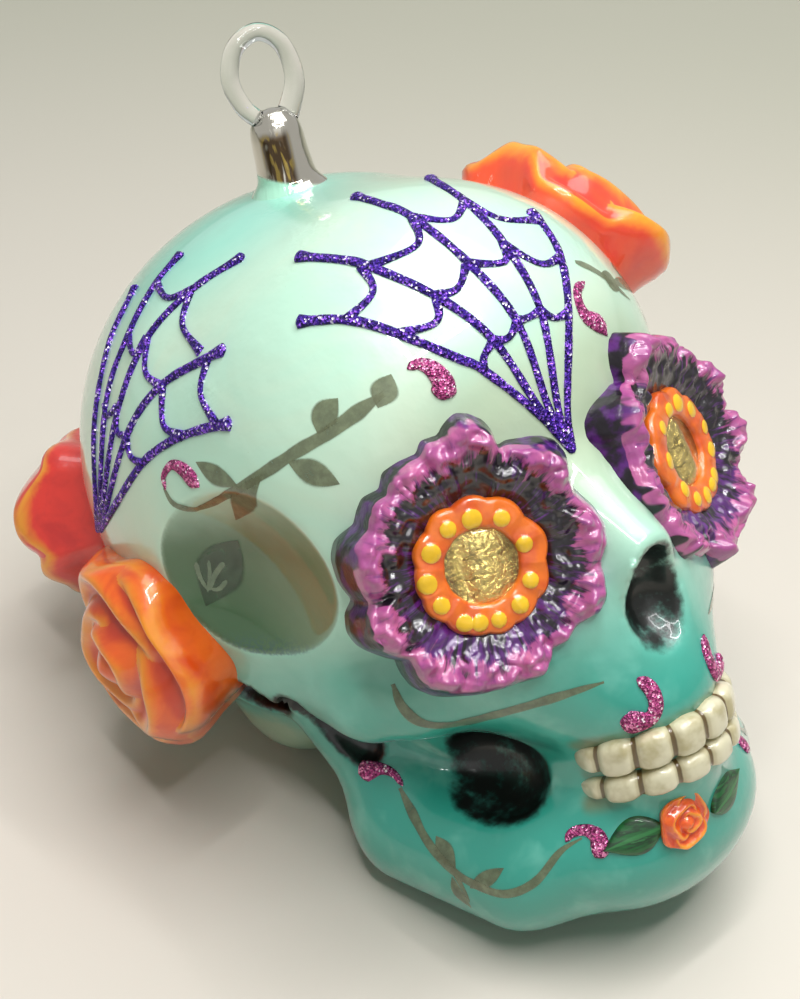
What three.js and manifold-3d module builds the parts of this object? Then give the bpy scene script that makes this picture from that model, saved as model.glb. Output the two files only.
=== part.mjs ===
// Sugar skull ornament of mould-blown, painted glass. It stands tilted back on its chin and skull base.
// Millimetres, +Z up. The face looks along -Y and the skull's right side is at -X.

import * as THREE from 'three';
import { mergeVertices } from 'three/addons/utils/BufferGeometryUtils.js';
import Module from 'manifold-3d';

const wasm = await Module();
wasm.setup();

// Head. The form is drawn upright in a cage, and the form shares are shares of the cage's sides.
const cageWidth = 100;
const cageDepth = 100;
const cageHeight = 100;
const glassWall = 1.2;
const flatDepth = 0.5; // depth of the flats that the head rests on

// Clearance between the glass and each piece that is seated on it
const seatGap = 0.3;

// Hanger
const neckBaseRadius = 4.7;
const neckWaistRadius = 3.9;
const neckHeight = 10.2;
const neckWall = 1.1;
const neckRoot = 4; // length of neck that the crown's curve trims
const neckSides = 24;
const neckBack = 12; // the neck's place behind the head's middle
const loopRadius = 4.5; // across, to the middle of the rod
const loopStretch = 0.6; // how much longer the loop's upright radius is
const loopRodRadius = 1.25;
const loopStemRadius = 1.7; // where the rod leaves the neck
const loopRise = 5.7; // from the neck's top to the middle of the eye
const loopTurn = -12; // degrees about the neck

// Eye flowers
const flowerShares = [0.163, 0.176]; // half its size, as shares of the cage's width and height
const flowerHalfWidth = flowerShares[0] * cageWidth;
const flowerHalfHeight = flowerShares[1] * cageHeight;
const flowerLobes = 10;
const lobeDepth = 1.3;
const petalRise = 2.6; // from the flower's floor to the petals' crest
const petalDrop = 9; // from the crest down into the head, where the glass trims it
const petalPleat = 0.45;
const flowerSplay = 24; // degrees outwards
const flowerLift = 15; // degrees upwards
const ringShares = [0.497, 0.282]; // outer and inner radius, as shares of the flower's half width
const ringOuterRadius = ringShares[0] * flowerHalfWidth;
const ringInnerRadius = ringShares[1] * flowerHalfWidth;
const ringHeight = 1.5;
const ringScallop = 0.25;
const dotCount = 12;
const dotRadius = 1;
const dotHeight = 0.6;
const mirrorHeight = 0.9;
const mirrorCrumple = 0.12;

// Roses
const roseShares = { ear: 0.155, rear: 0.138, temple: 0.155 }; // radii as shares of the cage's depth
const earRoseRadius = roseShares.ear * cageDepth;
const earRoseHeight = 11;
const rearRoseRadius = roseShares.rear * cageDepth;
const rearRoseHeight = 14.5;
const templeRoseRadius = roseShares.temple * cageDepth;
const templeRoseHeight = 8.5;
const chinRoseRadius = 4;
const chinRoseHeight = 1.8;
const earRoseRoot = 8; // how far a rose's foot reaches into the head, where the glass trims it
const otherRoseRoot = 5;
const chinRoseRoot = 1.5;
const chinLeafLength = 8.3;
const chinLeafWidth = 5.2;
const chinLeafHeight = 0.9;

// Teeth
const toothArcShares = [0.13, 0.147, 0.03]; // half width, depth and rise to the front, of the cage's sides
const toothRowHalfWidth = toothArcShares[0] * cageWidth;
const toothRowDepth = toothArcShares[1] * cageDepth;
const toothRowRise = toothArcShares[2] * cageHeight;
const toothProud = 1.3; // how far the teeth stand out of the gum
const toothBackset = 4.5; // how far a tooth's root reaches behind its face
const upperToothHeight = 4.8;
const lowerToothHeight = 3.6;
const toothParting = 0.3; // between the two rows
const toothCount = 8;

// Glitter glue, laid on as beads
const beadHeight = 0.8;
const strandHalfWidth = 0.75;
const strandEndHalfWidth = 1.2;
const threadHalfWidth = 0.7;
const curlRadius = 2.9;
const curlTailHalfWidth = 0.6;
const curlHeadHalfWidth = 2;

// Form of the cranium: lumps that run into one another, each blended over a share of the cage's width.
// A lump has a centre and radii; a rod has two ends and a radius at each.
const craniumShares = [
  { centre: [0, 0.11, 0.588], radii: [0.393, 0.435, 0.384], blend: 0 }, // braincase
  { centre: [0, -0.125, 0.66], radii: [0.31, 0.245, 0.305], blend: 0.1 }, // forehead
  { centre: [0, 0.14, 0.43], radii: [0.32, 0.33, 0.27], blend: 0.1 }, // skull base
  { centre: [0, -0.28, 0.44], radii: [0.2, 0.2, 0.2], blend: 0.08 }, // middle of the face
  { from: [0.24, -0.16, 0.36], to: [0.13, -0.33, 0.42], ends: [0.06, 0.06], blend: 0.08 }, // cheekbone
  { from: [0.21, -0.22, 0.38], to: [0.31, 0.04, 0.375], ends: [0.06, 0.034], blend: 0.04 }, // cheek arch
  { centre: [0, -0.36, 0.34], radii: [0.125, 0.153, 0.1], blend: 0.06 }, // upper jaw
  { from: [0, -0.37, 0.6], to: [0, -0.46, 0.54], ends: [0.035, 0.04], blend: 0.05 }, // nose bone
  { centre: [0.185, 0.135, 0.245], radii: [0.09, 0.1, 0.09], blend: 0.05 }, // lump behind the ear
];
const jawShares = [
  { from: [0.205, -0.13, 0.125], to: [0.165, -0.3, 0.095], ends: [0.088, 0.086], blend: 0 }, // side of the jaw
  { centre: [0, -0.36, 0.125], radii: [0.185, 0.145, 0.125], blend: 0.06 }, // chin
  { from: [0.205, -0.1, 0.18], to: [0.24, 0.01, 0.35], ends: [0.06, 0.055], blend: 0.06 }, // rising branch
  { centre: [0, -0.12, 0.34], radii: [0.2, 0.26, 0.17], blend: 0.08 }, // throat
  { centre: [0, -0.365, 0.25], radii: [0.112, 0.15, 0.13], blend: 0.04 }, // wall behind the teeth
];
const hollowShares = [
  { centre: [0.395, -0.085, 0.52], radii: [0.105, 0.18, 0.16], blend: 0.025 }, // temple
  { centre: [0.205, -0.3, 0.245], radii: [0.08, 0.085, 0.068], blend: 0.012 }, // beside the teeth
  { from: [0.31, 0.02, 0.33], to: [0.27, -0.13, 0.27], ends: [0.03, 0.028], blend: 0.015 }, // under the arch
  { centre: [0, -0.52, 0.47], radii: [0.052, 0.085, 0.06], blend: 0.015 }, // nose
  { centre: [0, -0.515, 0.51], radii: [0.034, 0.07, 0.045], blend: 0.015 }, // top of the nose
  { centre: [0.22, -0.48, 0.63], radii: [0.17, 0.15, 0.18], blend: 0.03 }, // eye socket
];
const jawSeamShare = 0.02;
const heartShares = [0, -0.12, 0.36]; // inner point that sees the whole surface

// Places on the head, as shares of the cage
const eyeShares = [0.182, -0.394, 0.595];
const toothRowShares = [0, -0.386, 0.278]; // middle of the tooth arc, at the front's parting

// Places on the head, as degrees of longitude and latitude from its heart
const rightLeafPlace = [-16.3, -27.2];
const rightLeafHeading = 190; // degrees from the leaf's stalk to its tip
const leftLeafPlace = [6.5, -26.5];
const leftLeafHeading = 10;

// Colours
const colours = {
  mint: 0x9fd8cc, silver: 0xcfd0cc, clear: 0xe8eeee, ivory: 0xd9d3bd, orchid: 0xa054a0,
  orange: 0xf08a2c, gold: 0xb7a04a, rose: 0xf0682a, red: 0xe8453f, leaf: 0x1f6b3c,
  violet: 0x4b249a, pink: 0xb8579b,
};

const enamelRoughness = 0.15;
const glitterRoughness = 0.4;
const mirrorRoughness = 0.08;

const cage = new THREE.Vector3(cageWidth, cageDepth, cageHeight);
const inCage = (shares) => new THREE.Vector3(...shares).multiply(cage);
const upward = new THREE.Vector3(0, 0, 1);
const lerp = THREE.MathUtils.lerp;
const clamp = THREE.MathUtils.clamp;
const radians = THREE.MathUtils.degToRad;

// A form table in millimetres
function sized(formShares) {
  return formShares.map((share) => {
    const blend = share.blend * cageWidth;
    if (share.centre) return { centre: inCage(share.centre), radii: inCage(share.radii), blend };
    const ends = share.ends.map((end) => end * cageWidth);
    return { from: inCage(share.from), to: inCage(share.to), ends, blend };
  });
}

const craniumForm = sized(craniumShares);
const jawForm = sized(jawShares);
const hollowForm = sized(hollowShares);
const jawSeam = jawSeamShare * cageWidth;
const heart = inCage(heartShares);

// Signed distance to one lump or rod, near enough for tracing
function lumpDistance(point, lump) {
  if (lump.centre) {
    const scaled = point.clone().sub(lump.centre).divide(lump.radii);
    const depth = scaled.length();
    return (depth * (depth - 1)) / Math.max(scaled.divide(lump.radii).length(), Number.EPSILON);
  }
  const axis = lump.to.clone().sub(lump.from);
  const share = clamp(point.clone().sub(lump.from).dot(axis) / axis.lengthSq(), 0, 1);
  const nearest = lump.from.clone().addScaledVector(axis, share);
  return point.distanceTo(nearest) - lerp(lump.ends[0], lump.ends[1], share);
}

// The lesser of two distances, with a fillet as wide as the blend
function blended(a, b, blend) {
  if (blend === 0) return Math.min(a, b);
  const share = clamp(0.5 + (b - a) / (2 * blend), 0, 1);
  return lerp(b, a, share) - blend * share * (1 - share);
}

const joined = (point, form) =>
  form.reduce((distance, lump) => blended(distance, lumpDistance(point, lump), lump.blend), Infinity);

// Signed distance to the head's outer skin: both sides are alike
function headDistance(place) {
  const point = place.clone().setX(Math.abs(place.x));
  let distance = blended(joined(point, craniumForm), joined(point, jawForm), jawSeam);
  for (const hollow of hollowForm) {
    distance = -blended(-distance, lumpDistance(point, hollow), hollow.blend);
  }
  return distance;
}

// Point where a ray from the heart meets the skin, or the skin grown by an offset
const traceSteps = 60;
const traceShare = 0.8;
function skinPoint(direction, offset) {
  let reach = cageHeight;
  for (let step = 0; step < traceSteps; step += 1) {
    const distance = headDistance(heart.clone().addScaledVector(direction, reach));
    reach -= traceShare * (distance - offset);
  }
  return heart.clone().addScaledVector(direction, reach);
}

// Outward normal of the skin, by differences over a probe
const probe = 0.2;
function skinNormal(place) {
  const beside = (axis, step) => headDistance(place.clone().addScaledVector(axis, step));
  const slope = (axis) => beside(axis, probe) - beside(axis, -probe);
  const axes = [new THREE.Vector3(1, 0, 0), new THREE.Vector3(0, 1, 0), upward];
  return new THREE.Vector3(...axes.map(slope)).normalize();
}

// Direction from the heart: longitude turns from the face to the left side, latitude climbs to the crown
function bearing([longitude, latitude]) {
  const flat = Math.cos(radians(latitude));
  return new THREE.Vector3(
    flat * Math.sin(radians(longitude)),
    -flat * Math.cos(radians(longitude)),
    Math.sin(radians(latitude)),
  );
}

// Solids
function solidOf(points, faces) {
  const vertProperties = new Float32Array(points.flatMap((point) => point.toArray()));
  const triVerts = new Uint32Array(faces);
  return new wasm.Manifold(new wasm.Mesh({ numProp: 3, vertProperties, triVerts }));
}

function solidOfGeometry(source) {
  const geometry = source.clone();
  geometry.deleteAttribute('normal');
  geometry.deleteAttribute('uv');
  const merged = mergeVertices(geometry);
  const position = merged.getAttribute('position');
  const points = [];
  for (let i = 0; i < position.count; i += 1) {
    points.push(new THREE.Vector3().fromBufferAttribute(position, i));
  }
  return { points, faces: Array.from(merged.index.array) };
}

// Turns the faces round where they point inwards
function facingOut(points, faces) {
  let volume = 0;
  for (let i = 0; i < faces.length; i += 3) {
    const [a, b, c] = [points[faces[i]], points[faces[i + 1]], points[faces[i + 2]]];
    volume += a.dot(b.clone().cross(c));
  }
  return volume > 0 ? faces : faces.slice().reverse();
}

// A closed skin of rows between two end points; at(share, angle) gives its points
function loft(rowCount, columnCount, at) {
  const points = [at(0, 0)];
  for (let row = 1; row < rowCount; row += 1) {
    for (let column = 0; column < columnCount; column += 1) {
      points.push(at(row / rowCount, (2 * Math.PI * column) / columnCount));
    }
  }
  points.push(at(1, 0));
  const last = points.length - 1;
  const index = (row, column) => 1 + (row - 1) * columnCount + (column % columnCount);
  const faces = [];
  for (let column = 0; column < columnCount; column += 1) {
    faces.push(0, index(1, column), index(1, column + 1));
    for (let row = 1; row < rowCount - 1; row += 1) {
      faces.push(index(row, column), index(row + 1, column), index(row + 1, column + 1));
      faces.push(index(row, column), index(row + 1, column + 1), index(row, column + 1));
    }
    faces.push(last, index(rowCount - 1, column + 1), index(rowCount - 1, column));
  }
  return solidOf(points, facingOut(points, faces));
}

// A closed ring of rows that run round a section
function ringLoft(rowCount, columnCount, at) {
  const points = [];
  for (let row = 0; row < rowCount; row += 1) {
    for (let column = 0; column < columnCount; column += 1) {
      points.push(at(row / rowCount, (2 * Math.PI * column) / columnCount));
    }
  }
  const index = (row, column) => (row % rowCount) * columnCount + (column % columnCount);
  const faces = [];
  for (let row = 0; row < rowCount; row += 1) {
    for (let column = 0; column < columnCount; column += 1) {
      faces.push(index(row, column), index(row + 1, column), index(row + 1, column + 1));
      faces.push(index(row, column), index(row + 1, column + 1), index(row, column + 1));
    }
  }
  return solidOf(points, facingOut(points, faces));
}

// A rod along a curve, round in section, with a radius that follows the way along it
function rod(curve, rowCount, columnCount, radiusAt) {
  const frames = curve.computeFrenetFrames(rowCount, false);
  return loft(rowCount, columnCount, (share, angle) => {
    const row = Math.round(share * rowCount);
    const middle = curve.getPoint(share);
    if (row === 0 || row === rowCount) return middle;
    const radius = radiusAt(share);
    return middle
      .addScaledVector(frames.normals[row], radius * Math.cos(angle))
      .addScaledVector(frames.binormals[row], radius * Math.sin(angle));
  });
}

// The head's skin grown by an offset, as a solid
function headSolid(offset, detail) {
  const { points, faces } = solidOfGeometry(new THREE.IcosahedronGeometry(1, detail));
  return solidOf(points.map((point) => skinPoint(point.normalize(), offset)), faces);
}

const skinDetail = 13;
const cavityDetail = 6;
const skin = headSolid(0, skinDetail);
const seat = headSolid(seatGap, skinDetail); // what every seated piece is trimmed with

// Axes of a seated piece: Z out of the glass, Y towards the crown
function seatAxes(origin, outward) {
  const across = upward.clone().cross(outward).normalize();
  const along = outward.clone().cross(across);
  return new THREE.Matrix4().makeBasis(across, along, outward).setPosition(origin);
}

function seatAt(place) {
  const origin = skinPoint(bearing(place), 0);
  return seatAxes(origin, skinNormal(origin));
}

// A point beside a seat, laid onto the glass and lifted off it
function draped(axes, x, y, lift) {
  const flat = new THREE.Vector3(x, y, 0).applyMatrix4(axes);
  const onGlass = skinPoint(flat.sub(heart).normalize(), 0);
  return onGlass.addScaledVector(skinNormal(onGlass), lift);
}

// The glass bubble, open where the neck stands
function skullShell(restPlane) {
  const cavity = headSolid(-glassWall, cavityDetail);
  const boreRadius = neckWaistRadius - neckWall;
  const bore = new THREE.CylinderGeometry(boreRadius, boreRadius, cageHeight, neckSides);
  bore.rotateX(Math.PI / 2);
  bore.translate(0, neckBack, heart.z + cageHeight / 2);
  const { points, faces } = solidOfGeometry(bore);
  return skin.subtract(cavity).subtract(solidOf(points, faces)).subtract(restPlane);
}

// Hanger: a drawn neck, closed at the top, and a rod bent into a loop
const crown = skinPoint(new THREE.Vector3(0, neckBack - heart.y, cageHeight).normalize(), 0).z;
const neckTop = crown + neckHeight;

// Outline of the neck as shares of its waist radius and of its height
const neckOutlineShares = [
  [1.0, 0.35], [0.97, 0.6], [1.0, 0.8], [0.85, 0.93], [0.5, 0.99], [0, 1],
];

function neckOutline(growth) {
  const root = new THREE.Vector2(neckBaseRadius + growth, -neckRoot);
  const base = new THREE.Vector2(neckBaseRadius + growth, 0);
  const rise = neckOutlineShares.map(([across, up]) =>
    new THREE.Vector2(across * neckWaistRadius + (across > 0 ? growth : 0), up * neckHeight + growth));
  return [root, base, ...rise];
}

function turned(outline, sides) {
  const geometry = new THREE.LatheGeometry(outline, sides);
  geometry.rotateX(Math.PI / 2);
  geometry.translate(0, neckBack, crown);
  const { points, faces } = solidOfGeometry(geometry);
  return solidOf(points, facingOut(points, faces));
}

function hangerNeck() {
  const outside = turned([new THREE.Vector2(0, -neckRoot), ...neckOutline(0)], neckSides);
  const innerOutline = neckOutline(-neckWall);
  innerOutline[0].setY(-2 * neckRoot);
  const inside = turned([new THREE.Vector2(0, -2 * neckRoot), ...innerOutline], neckSides);
  return outside.subtract(inside).subtract(seat);
}

// Way of the rod, as shares of the loop's radius across and up from the middle of the eye
const loopRows = 30;
const loopSides = 8;
const loopTaperShare = 1 / 3; // share of the rod's way over which it thins
const loopWayShares = [
  [0.1, -1.62], [0.62, -1.12], [1.02, -0.35], [0.86, 0.55], [0.2, 1.02], [-0.6, 0.78],
  [-1, 0.05], [-0.82, -0.72], [-0.42, -1.2],
];

function hangerLoop() {
  const tall = loopRadius + loopStretch;
  const eye = neckTop + loopRise;
  const way = loopWayShares.map(([across, up]) => {
    const point = new THREE.Vector3(across * loopRadius, 0, up * tall);
    return point.applyAxisAngle(upward, radians(loopTurn)).add(new THREE.Vector3(0, neckBack, eye));
  });
  const curve = new THREE.CatmullRomCurve3(way);
  const loop = rod(curve, loopRows, loopSides, (share) =>
    lerp(loopStemRadius, loopRodRadius, clamp(share / loopTaperShare, 0, 1)));
  const neckSeat = turned([new THREE.Vector2(0, -neckRoot), ...neckOutline(seatGap)], neckSides);
  return loop.subtract(neckSeat);
}

// Eye flowers, drawn on the left side and mirrored for the right
const flowerFloor = -petalRise;
const petalOutlineShares = [
  [0, -1], [0.57, -1], [0.7, -0.25], [0.84, 0], [0.95, -0.1], [1, -0.45],
];
const pleatStartShare = 0.6;
const pleatsPerLobe = 2;
const columnsPerLobe = 4;

function eyeAxes() {
  const outward = bearing([flowerSplay, flowerLift]);
  return seatAxes(inCage(eyeShares), outward);
}

// Half-size of the flower at an angle, with its lobes
function flowerReach(angle) {
  const lobe = Math.abs(Math.cos((flowerLobes * angle) / 2)) * lobeDepth;
  const wide = (flowerHalfWidth - lobeDepth + lobe) * Math.cos(angle);
  const tall = (flowerHalfHeight - lobeDepth + lobe) * Math.sin(angle);
  return new THREE.Vector2(wide, tall);
}

function eyePetals(axes) {
  const rowCount = petalOutlineShares.length + 1;
  const petals = loft(rowCount, flowerLobes * columnsPerLobe, (share, angle) => {
    const row = Math.round(share * rowCount);
    if (row === rowCount) return new THREE.Vector3(0, 0, -petalDrop).applyMatrix4(axes);
    const rim = flowerReach(angle);
    if (row === rowCount - 1) return new THREE.Vector3(rim.x, rim.y, -petalDrop).applyMatrix4(axes);
    const [out, up] = petalOutlineShares[row];
    const pleated = out > pleatStartShare && out < 1;
    const pleat = pleated ? petalPleat * Math.cos(pleatsPerLobe * flowerLobes * angle) : 0;
    return new THREE.Vector3(out * rim.x, out * rim.y, up * petalRise + pleat).applyMatrix4(axes);
  });
  return petals.subtract(seat);
}

// The ring carries its enamel dots
const rowsPerDot = 4;
const ringSides = 6;
function eyeRing(axes) {
  const middleRadius = (ringOuterRadius + ringInnerRadius) / 2;
  const halfWidth = (ringOuterRadius - ringInnerRadius) / 2;
  const base = flowerFloor + seatGap;
  return ringLoft(dotCount * rowsPerDot, ringSides, (share, angle) => {
    const turn = 2 * Math.PI * share;
    const scallop = ringScallop * Math.cos(dotCount * turn);
    const radius = middleRadius + (halfWidth + scallop) * Math.cos(angle);
    const toDot = (Math.abs(Math.sin((dotCount * turn) / 2)) * 2 * middleRadius) / dotCount;
    const dot = dotHeight * clamp(1 - toDot / dotRadius, 0, 1) * Math.max(0, Math.sin(angle));
    const lift = (ringHeight * (1 + Math.sin(angle))) / 2 + dot;
    const point = new THREE.Vector3(radius * Math.cos(turn), radius * Math.sin(turn), base + lift);
    return point.applyMatrix4(axes);
  });
}

const mirrorRows = 5;
const mirrorSides = 20;
const mirrorFolds = 5;
function eyeMirror(axes) {
  const radius = ringInnerRadius - seatGap - ringScallop;
  const base = flowerFloor + seatGap;
  return loft(mirrorRows, mirrorSides, (share, angle) => {
    const out = Math.sin(Math.PI * share);
    const crumple = mirrorCrumple * Math.sin(mirrorFolds * angle) * out;
    const lift = share < 0.5 ? mirrorHeight * Math.cos(Math.PI * share) + crumple : 0;
    return new THREE.Vector3(out * radius * Math.cos(angle), out * radius * Math.sin(angle), base + lift)
      .applyMatrix4(axes);
  });
}

// Roses: rings of petals, each cupped up to its lip and then dropping onto the next
const petalRowShares = [0.2, 0.42, 0.68, 1]; // of the rose's radius
const petalRowCounts = [3, 4, 5, 6];
const lipWaveShare = 0.06;
const domeShare = 0.3; // how far the outermost ring lies below the bud
const cupShare = 0.16; // rise from a petal's root to its lip
const ruffleShare = 0.06;
const footShare = 0.72; // radius of the foot
const rimShare = 0.25; // thickness of the outer petals
const roseMesh = { rows: 13, columns: 30 };
const budMesh = { rows: 9, columns: 15 };

// Height of the petals at a share of the radius, as a share of the rose's height
function roseHeightShare(out, angle) {
  let inner = 0;
  for (let row = 0; row < petalRowShares.length; row += 1) {
    const outermost = row === petalRowShares.length - 1;
    const wave = outermost ? 0 : lipWaveShare * Math.cos(petalRowCounts[row] * angle + row);
    const lip = petalRowShares[row] * (1 + wave);
    if (out <= lip) {
      const across = (out - inner) / (lip - inner);
      return 1 - domeShare * petalRowShares[row] + cupShare * (across ** 2 - 0.5);
    }
    inner = lip;
  }
  return 0;
}

// The foot is narrower than the outer petals, and the glass trims it
function rose(axes, { radius, height, petals, root, rows, columns }) {
  const lastTop = rows - 3;
  const flower = loft(rows, columns, (share, angle) => {
    const row = Math.round(share * rows);
    if (row === 0) return new THREE.Vector3(0, 0, height * roseHeightShare(0, 0)).applyMatrix4(axes);
    if (row === rows) return new THREE.Vector3(0, 0, -root).applyMatrix4(axes);
    const out = row === rows - 1 ? footShare : Math.min(row / lastTop, 1);
    const top = height * roseHeightShare(out, angle);
    const underside = row === lastTop + 1 ? top - rimShare * height : -root;
    const reach = out * radius * (1 + ruffleShare * Math.cos(petals * angle));
    const lift = row <= lastTop ? top : underside;
    return new THREE.Vector3(reach * Math.cos(angle), reach * Math.sin(angle), lift).applyMatrix4(axes);
  });
  return flower.subtract(seat);
}

// Each rose has the place of its foot and the bearing it faces, in degrees of longitude and latitude
const roses = [
  {
    name: 'right_ear_rose', place: [-124, 9.5], facing: [-94, 0], colour: colours.rose,
    radius: earRoseRadius, height: earRoseHeight, petals: 6, root: earRoseRoot, ...roseMesh,
  },
  {
    name: 'right_rear_rose', place: [-155, 15], facing: [-146, -6], colour: colours.red,
    radius: rearRoseRadius, height: rearRoseHeight, petals: 5, root: otherRoseRoot, ...roseMesh,
  },
  {
    name: 'left_temple_rose', place: [104, 53], facing: [84, 40], colour: colours.rose,
    radius: templeRoseRadius, height: templeRoseHeight, petals: 5, root: otherRoseRoot, ...roseMesh,
  },
  {
    name: 'chin_rose', place: [-6, -26], facing: [-6, 5], colour: colours.rose,
    radius: chinRoseRadius, height: chinRoseHeight, petals: 5, root: chinRoseRoot, ...budMesh,
  },
];

// Teeth: two rows round one arc, each tooth a swelling of the band
const rowsPerTooth = 5;
const toothSides = 8;
const grooveShare = 0.3; // depth of the groove between two teeth
const grooveSharpness = 6;
const squareness = 0.6; // lower is squarer, and 1 is round
const rowEndShare = 1 / 6; // share of a row over which its end thins

const squared = (wave) => Math.sign(wave) * Math.abs(wave) ** squareness;

function toothRow(bottom, height) {
  const middle = inCage(toothRowShares);
  const thick = (toothProud + toothBackset) / 2;
  const band = loft(toothCount * rowsPerTooth, toothSides, (share, angle) => {
    const turn = lerp(-Math.PI / 2, Math.PI / 2, share);
    const nearEnd = Math.min(1, share / rowEndShare, (1 - share) / rowEndShare);
    const groove = grooveShare * Math.abs(Math.cos(Math.PI * toothCount * share)) ** grooveSharpness;
    const end = share === 0 || share === 1;
    const face = end ? 0 : squared(Math.cos(angle)) * thick * (1 - groove) * nearEnd;
    const edge = end ? 0 : squared(Math.sin(angle)) * (height / 2);
    return new THREE.Vector3(
      Math.sin(turn) * (toothRowHalfWidth - thick + face),
      middle.y - Math.cos(turn) * (toothRowDepth - thick + face),
      middle.z + bottom + height / 2 + edge - toothRowRise * (1 - Math.cos(turn)),
    );
  });
  return band.subtract(seat);
}

// A leaf laid on the glass, from its stalk to its tip along one bearing
const leafRows = 8;
const leafSides = 6;
const leafFullness = 0.8; // lower sets the leaf's widest part nearer its stalk
function chinLeaf(place, heading) {
  const axes = seatAt(place);
  const leaf = loft(leafRows, leafSides, (share, angle) => {
    const width = (Math.sin(Math.PI * share ** leafFullness) * chinLeafWidth) / 2;
    const flat = new THREE.Vector2((share - 0.5) * chinLeafLength, width * Math.cos(angle));
    flat.rotateAround(new THREE.Vector2(), radians(heading));
    const lift = width > 0 ? chinLeafHeight * Math.sin(angle) : 0;
    return draped(axes, flat.x, flat.y, lift);
  });
  return leaf.subtract(seat);
}

// A bead of glitter glue along a flat way, draped over the glass: flat below and ridged above
const beadSides = 4;
function bead(axes, way, rows, halfWidthAt) {
  return loft(rows, beadSides, (share, angle) => {
    const ahead = way.getTangent(share);
    const halfWidth = share === 0 || share === 1 ? 0 : halfWidthAt(share);
    const beside = new THREE.Vector2(-ahead.y, ahead.x).multiplyScalar(halfWidth * Math.cos(angle));
    const place = way.getPoint(share).add(beside);
    const lift = seatGap + beadHeight * Math.max(0, Math.sin(angle));
    return draped(axes, place.x, place.y, lift);
  });
}

// Webs: strands fan out from an apex, and threads sag between neighbours. Each is laid out flat round
// its middle, with its bearings in degrees and its lengths as shares of the cage's width.
const strandRows = 8;
const threadRows = 4;
const threadSag = 0.6; // of a thread's span, pulled towards the apex
const strandEndShare = 0.12; // share of a strand over which its end thickens
const webs = [
  {
    name: 'forehead_web',
    place: [-8, 72],
    apexShares: [0.026, -0.221],
    strands: [
      { turn: 126.7, lengthShare: 0.449, bowShare: 0, knotShares: [0.33, 0.59, 0.77] },
      { turn: 113, lengthShare: 0.531, bowShare: 0, knotShares: [0.29, 0.45, 0.68] },
      { turn: 95.4, lengthShare: 0.575, bowShare: 0, knotShares: [0.27, 0.43, 0.63] },
      { turn: 81.1, lengthShare: 0.556, bowShare: 0, knotShares: [0.29, 0.46, 0.66] },
      { turn: 68.1, lengthShare: 0.358, bowShare: -0.02, knotShares: [0.47, 0.72, 0.92] },
    ],
  },
  {
    name: 'right_side_web',
    place: [-122, 40],
    apexShares: [-0.135, -0.122],
    strands: [
      { turn: 31.2, lengthShare: 0.42, bowShare: 0, knotShares: [0.54, 0.76, 0.93] },
      { turn: 46.4, lengthShare: 0.447, bowShare: 0, knotShares: [0.48, 0.69, 0.92] },
      { turn: 70.2, lengthShare: 0.583, bowShare: -0.06, knotShares: [0.36, 0.56, 0.76] },
      { turn: 88.3, lengthShare: 0.524, bowShare: -0.13, knotShares: [0.35, 0.58, 0.81] },
      { turn: 97.1, lengthShare: 0.423, bowShare: -0.11, knotShares: [0.35, 0.63, 0.88] },
    ],
  },
];

// The flat way of a strand, from the apex to its end, bowed to one side
function strandWay(apex, { turn, lengthShare, bowShare }) {
  const reach = new THREE.Vector2(lengthShare, 0).multiplyScalar(cageWidth);
  const bow = new THREE.Vector2(lengthShare / 2, bowShare).multiplyScalar(cageWidth);
  const placed = (point) => point.rotateAround(new THREE.Vector2(), radians(turn)).add(apex);
  return new THREE.QuadraticBezierCurve(apex, placed(bow), placed(reach));
}

function threadWay(apex, from, to) {
  const middle = from.clone().add(to).divideScalar(2);
  const sag = apex.clone().sub(middle).setLength(threadSag * from.distanceTo(to));
  return new THREE.QuadraticBezierCurve(from, middle.add(sag), to);
}

function web({ place, apexShares, strands }) {
  const axes = seatAt(place);
  const apex = new THREE.Vector2(...apexShares).multiplyScalar(cageWidth);
  const ways = strands.map((strand) => strandWay(apex, strand));
  const strandWidth = (share) =>
    lerp(strandHalfWidth, strandEndHalfWidth, clamp((share - 1) / strandEndShare + 1, 0, 1));
  const beads = ways.map((way) => bead(axes, way, strandRows, strandWidth));
  for (let i = 1; i < strands.length; i += 1) {
    strands[i].knotShares.forEach((knot, ring) => {
      const from = ways[i - 1].getPoint(strands[i - 1].knotShares[ring]);
      const thread = threadWay(apex, from, ways[i].getPoint(knot));
      beads.push(bead(axes, thread, threadRows, () => threadHalfWidth));
    });
  }
  return beads.reduce((whole, one) => whole.add(one));
}

// Curls: commas round a middle, from the tail's start in degrees and through a sweep
const curlRows = 9;
const rightCurls = [
  { name: 'brow', place: [-39.9, 60.4], sizeShare: 1, start: 104, sweep: -150 },
  { name: 'temple', place: [-105, 42.1], sizeShare: 1, start: -166, sweep: -170 },
  { name: 'cheek', place: [-11.4, 1.3], sizeShare: 1, start: 67, sweep: -200 },
  { name: 'jaw', place: [-85.3, -30.4], sizeShare: 1.3, start: 22, sweep: 105 },
  { name: 'chin', place: [-26.8, -29.1], sizeShare: 0.75, start: 167, sweep: -210 },
];
// On the left a rose stands where the temple's curl would lie
const leftCurls = rightCurls.filter(({ name }) => name !== 'temple').map(({ place, start, sweep, ...kept }) =>
  ({ ...kept, place: [-place[0], place[1]], start: 180 - start, sweep: -sweep }));

function curl({ place, sizeShare, start, sweep }) {
  const radius = sizeShare * curlRadius;
  const way = new THREE.ArcCurve(0, 0, radius, radians(start), radians(start + sweep), sweep < 0);
  const widthAt = (share) => sizeShare * lerp(curlTailHalfWidth, curlHeadHalfWidth, share);
  return bead(seatAt(place), way, curlRows, widthAt).subtract(seat);
}

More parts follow.
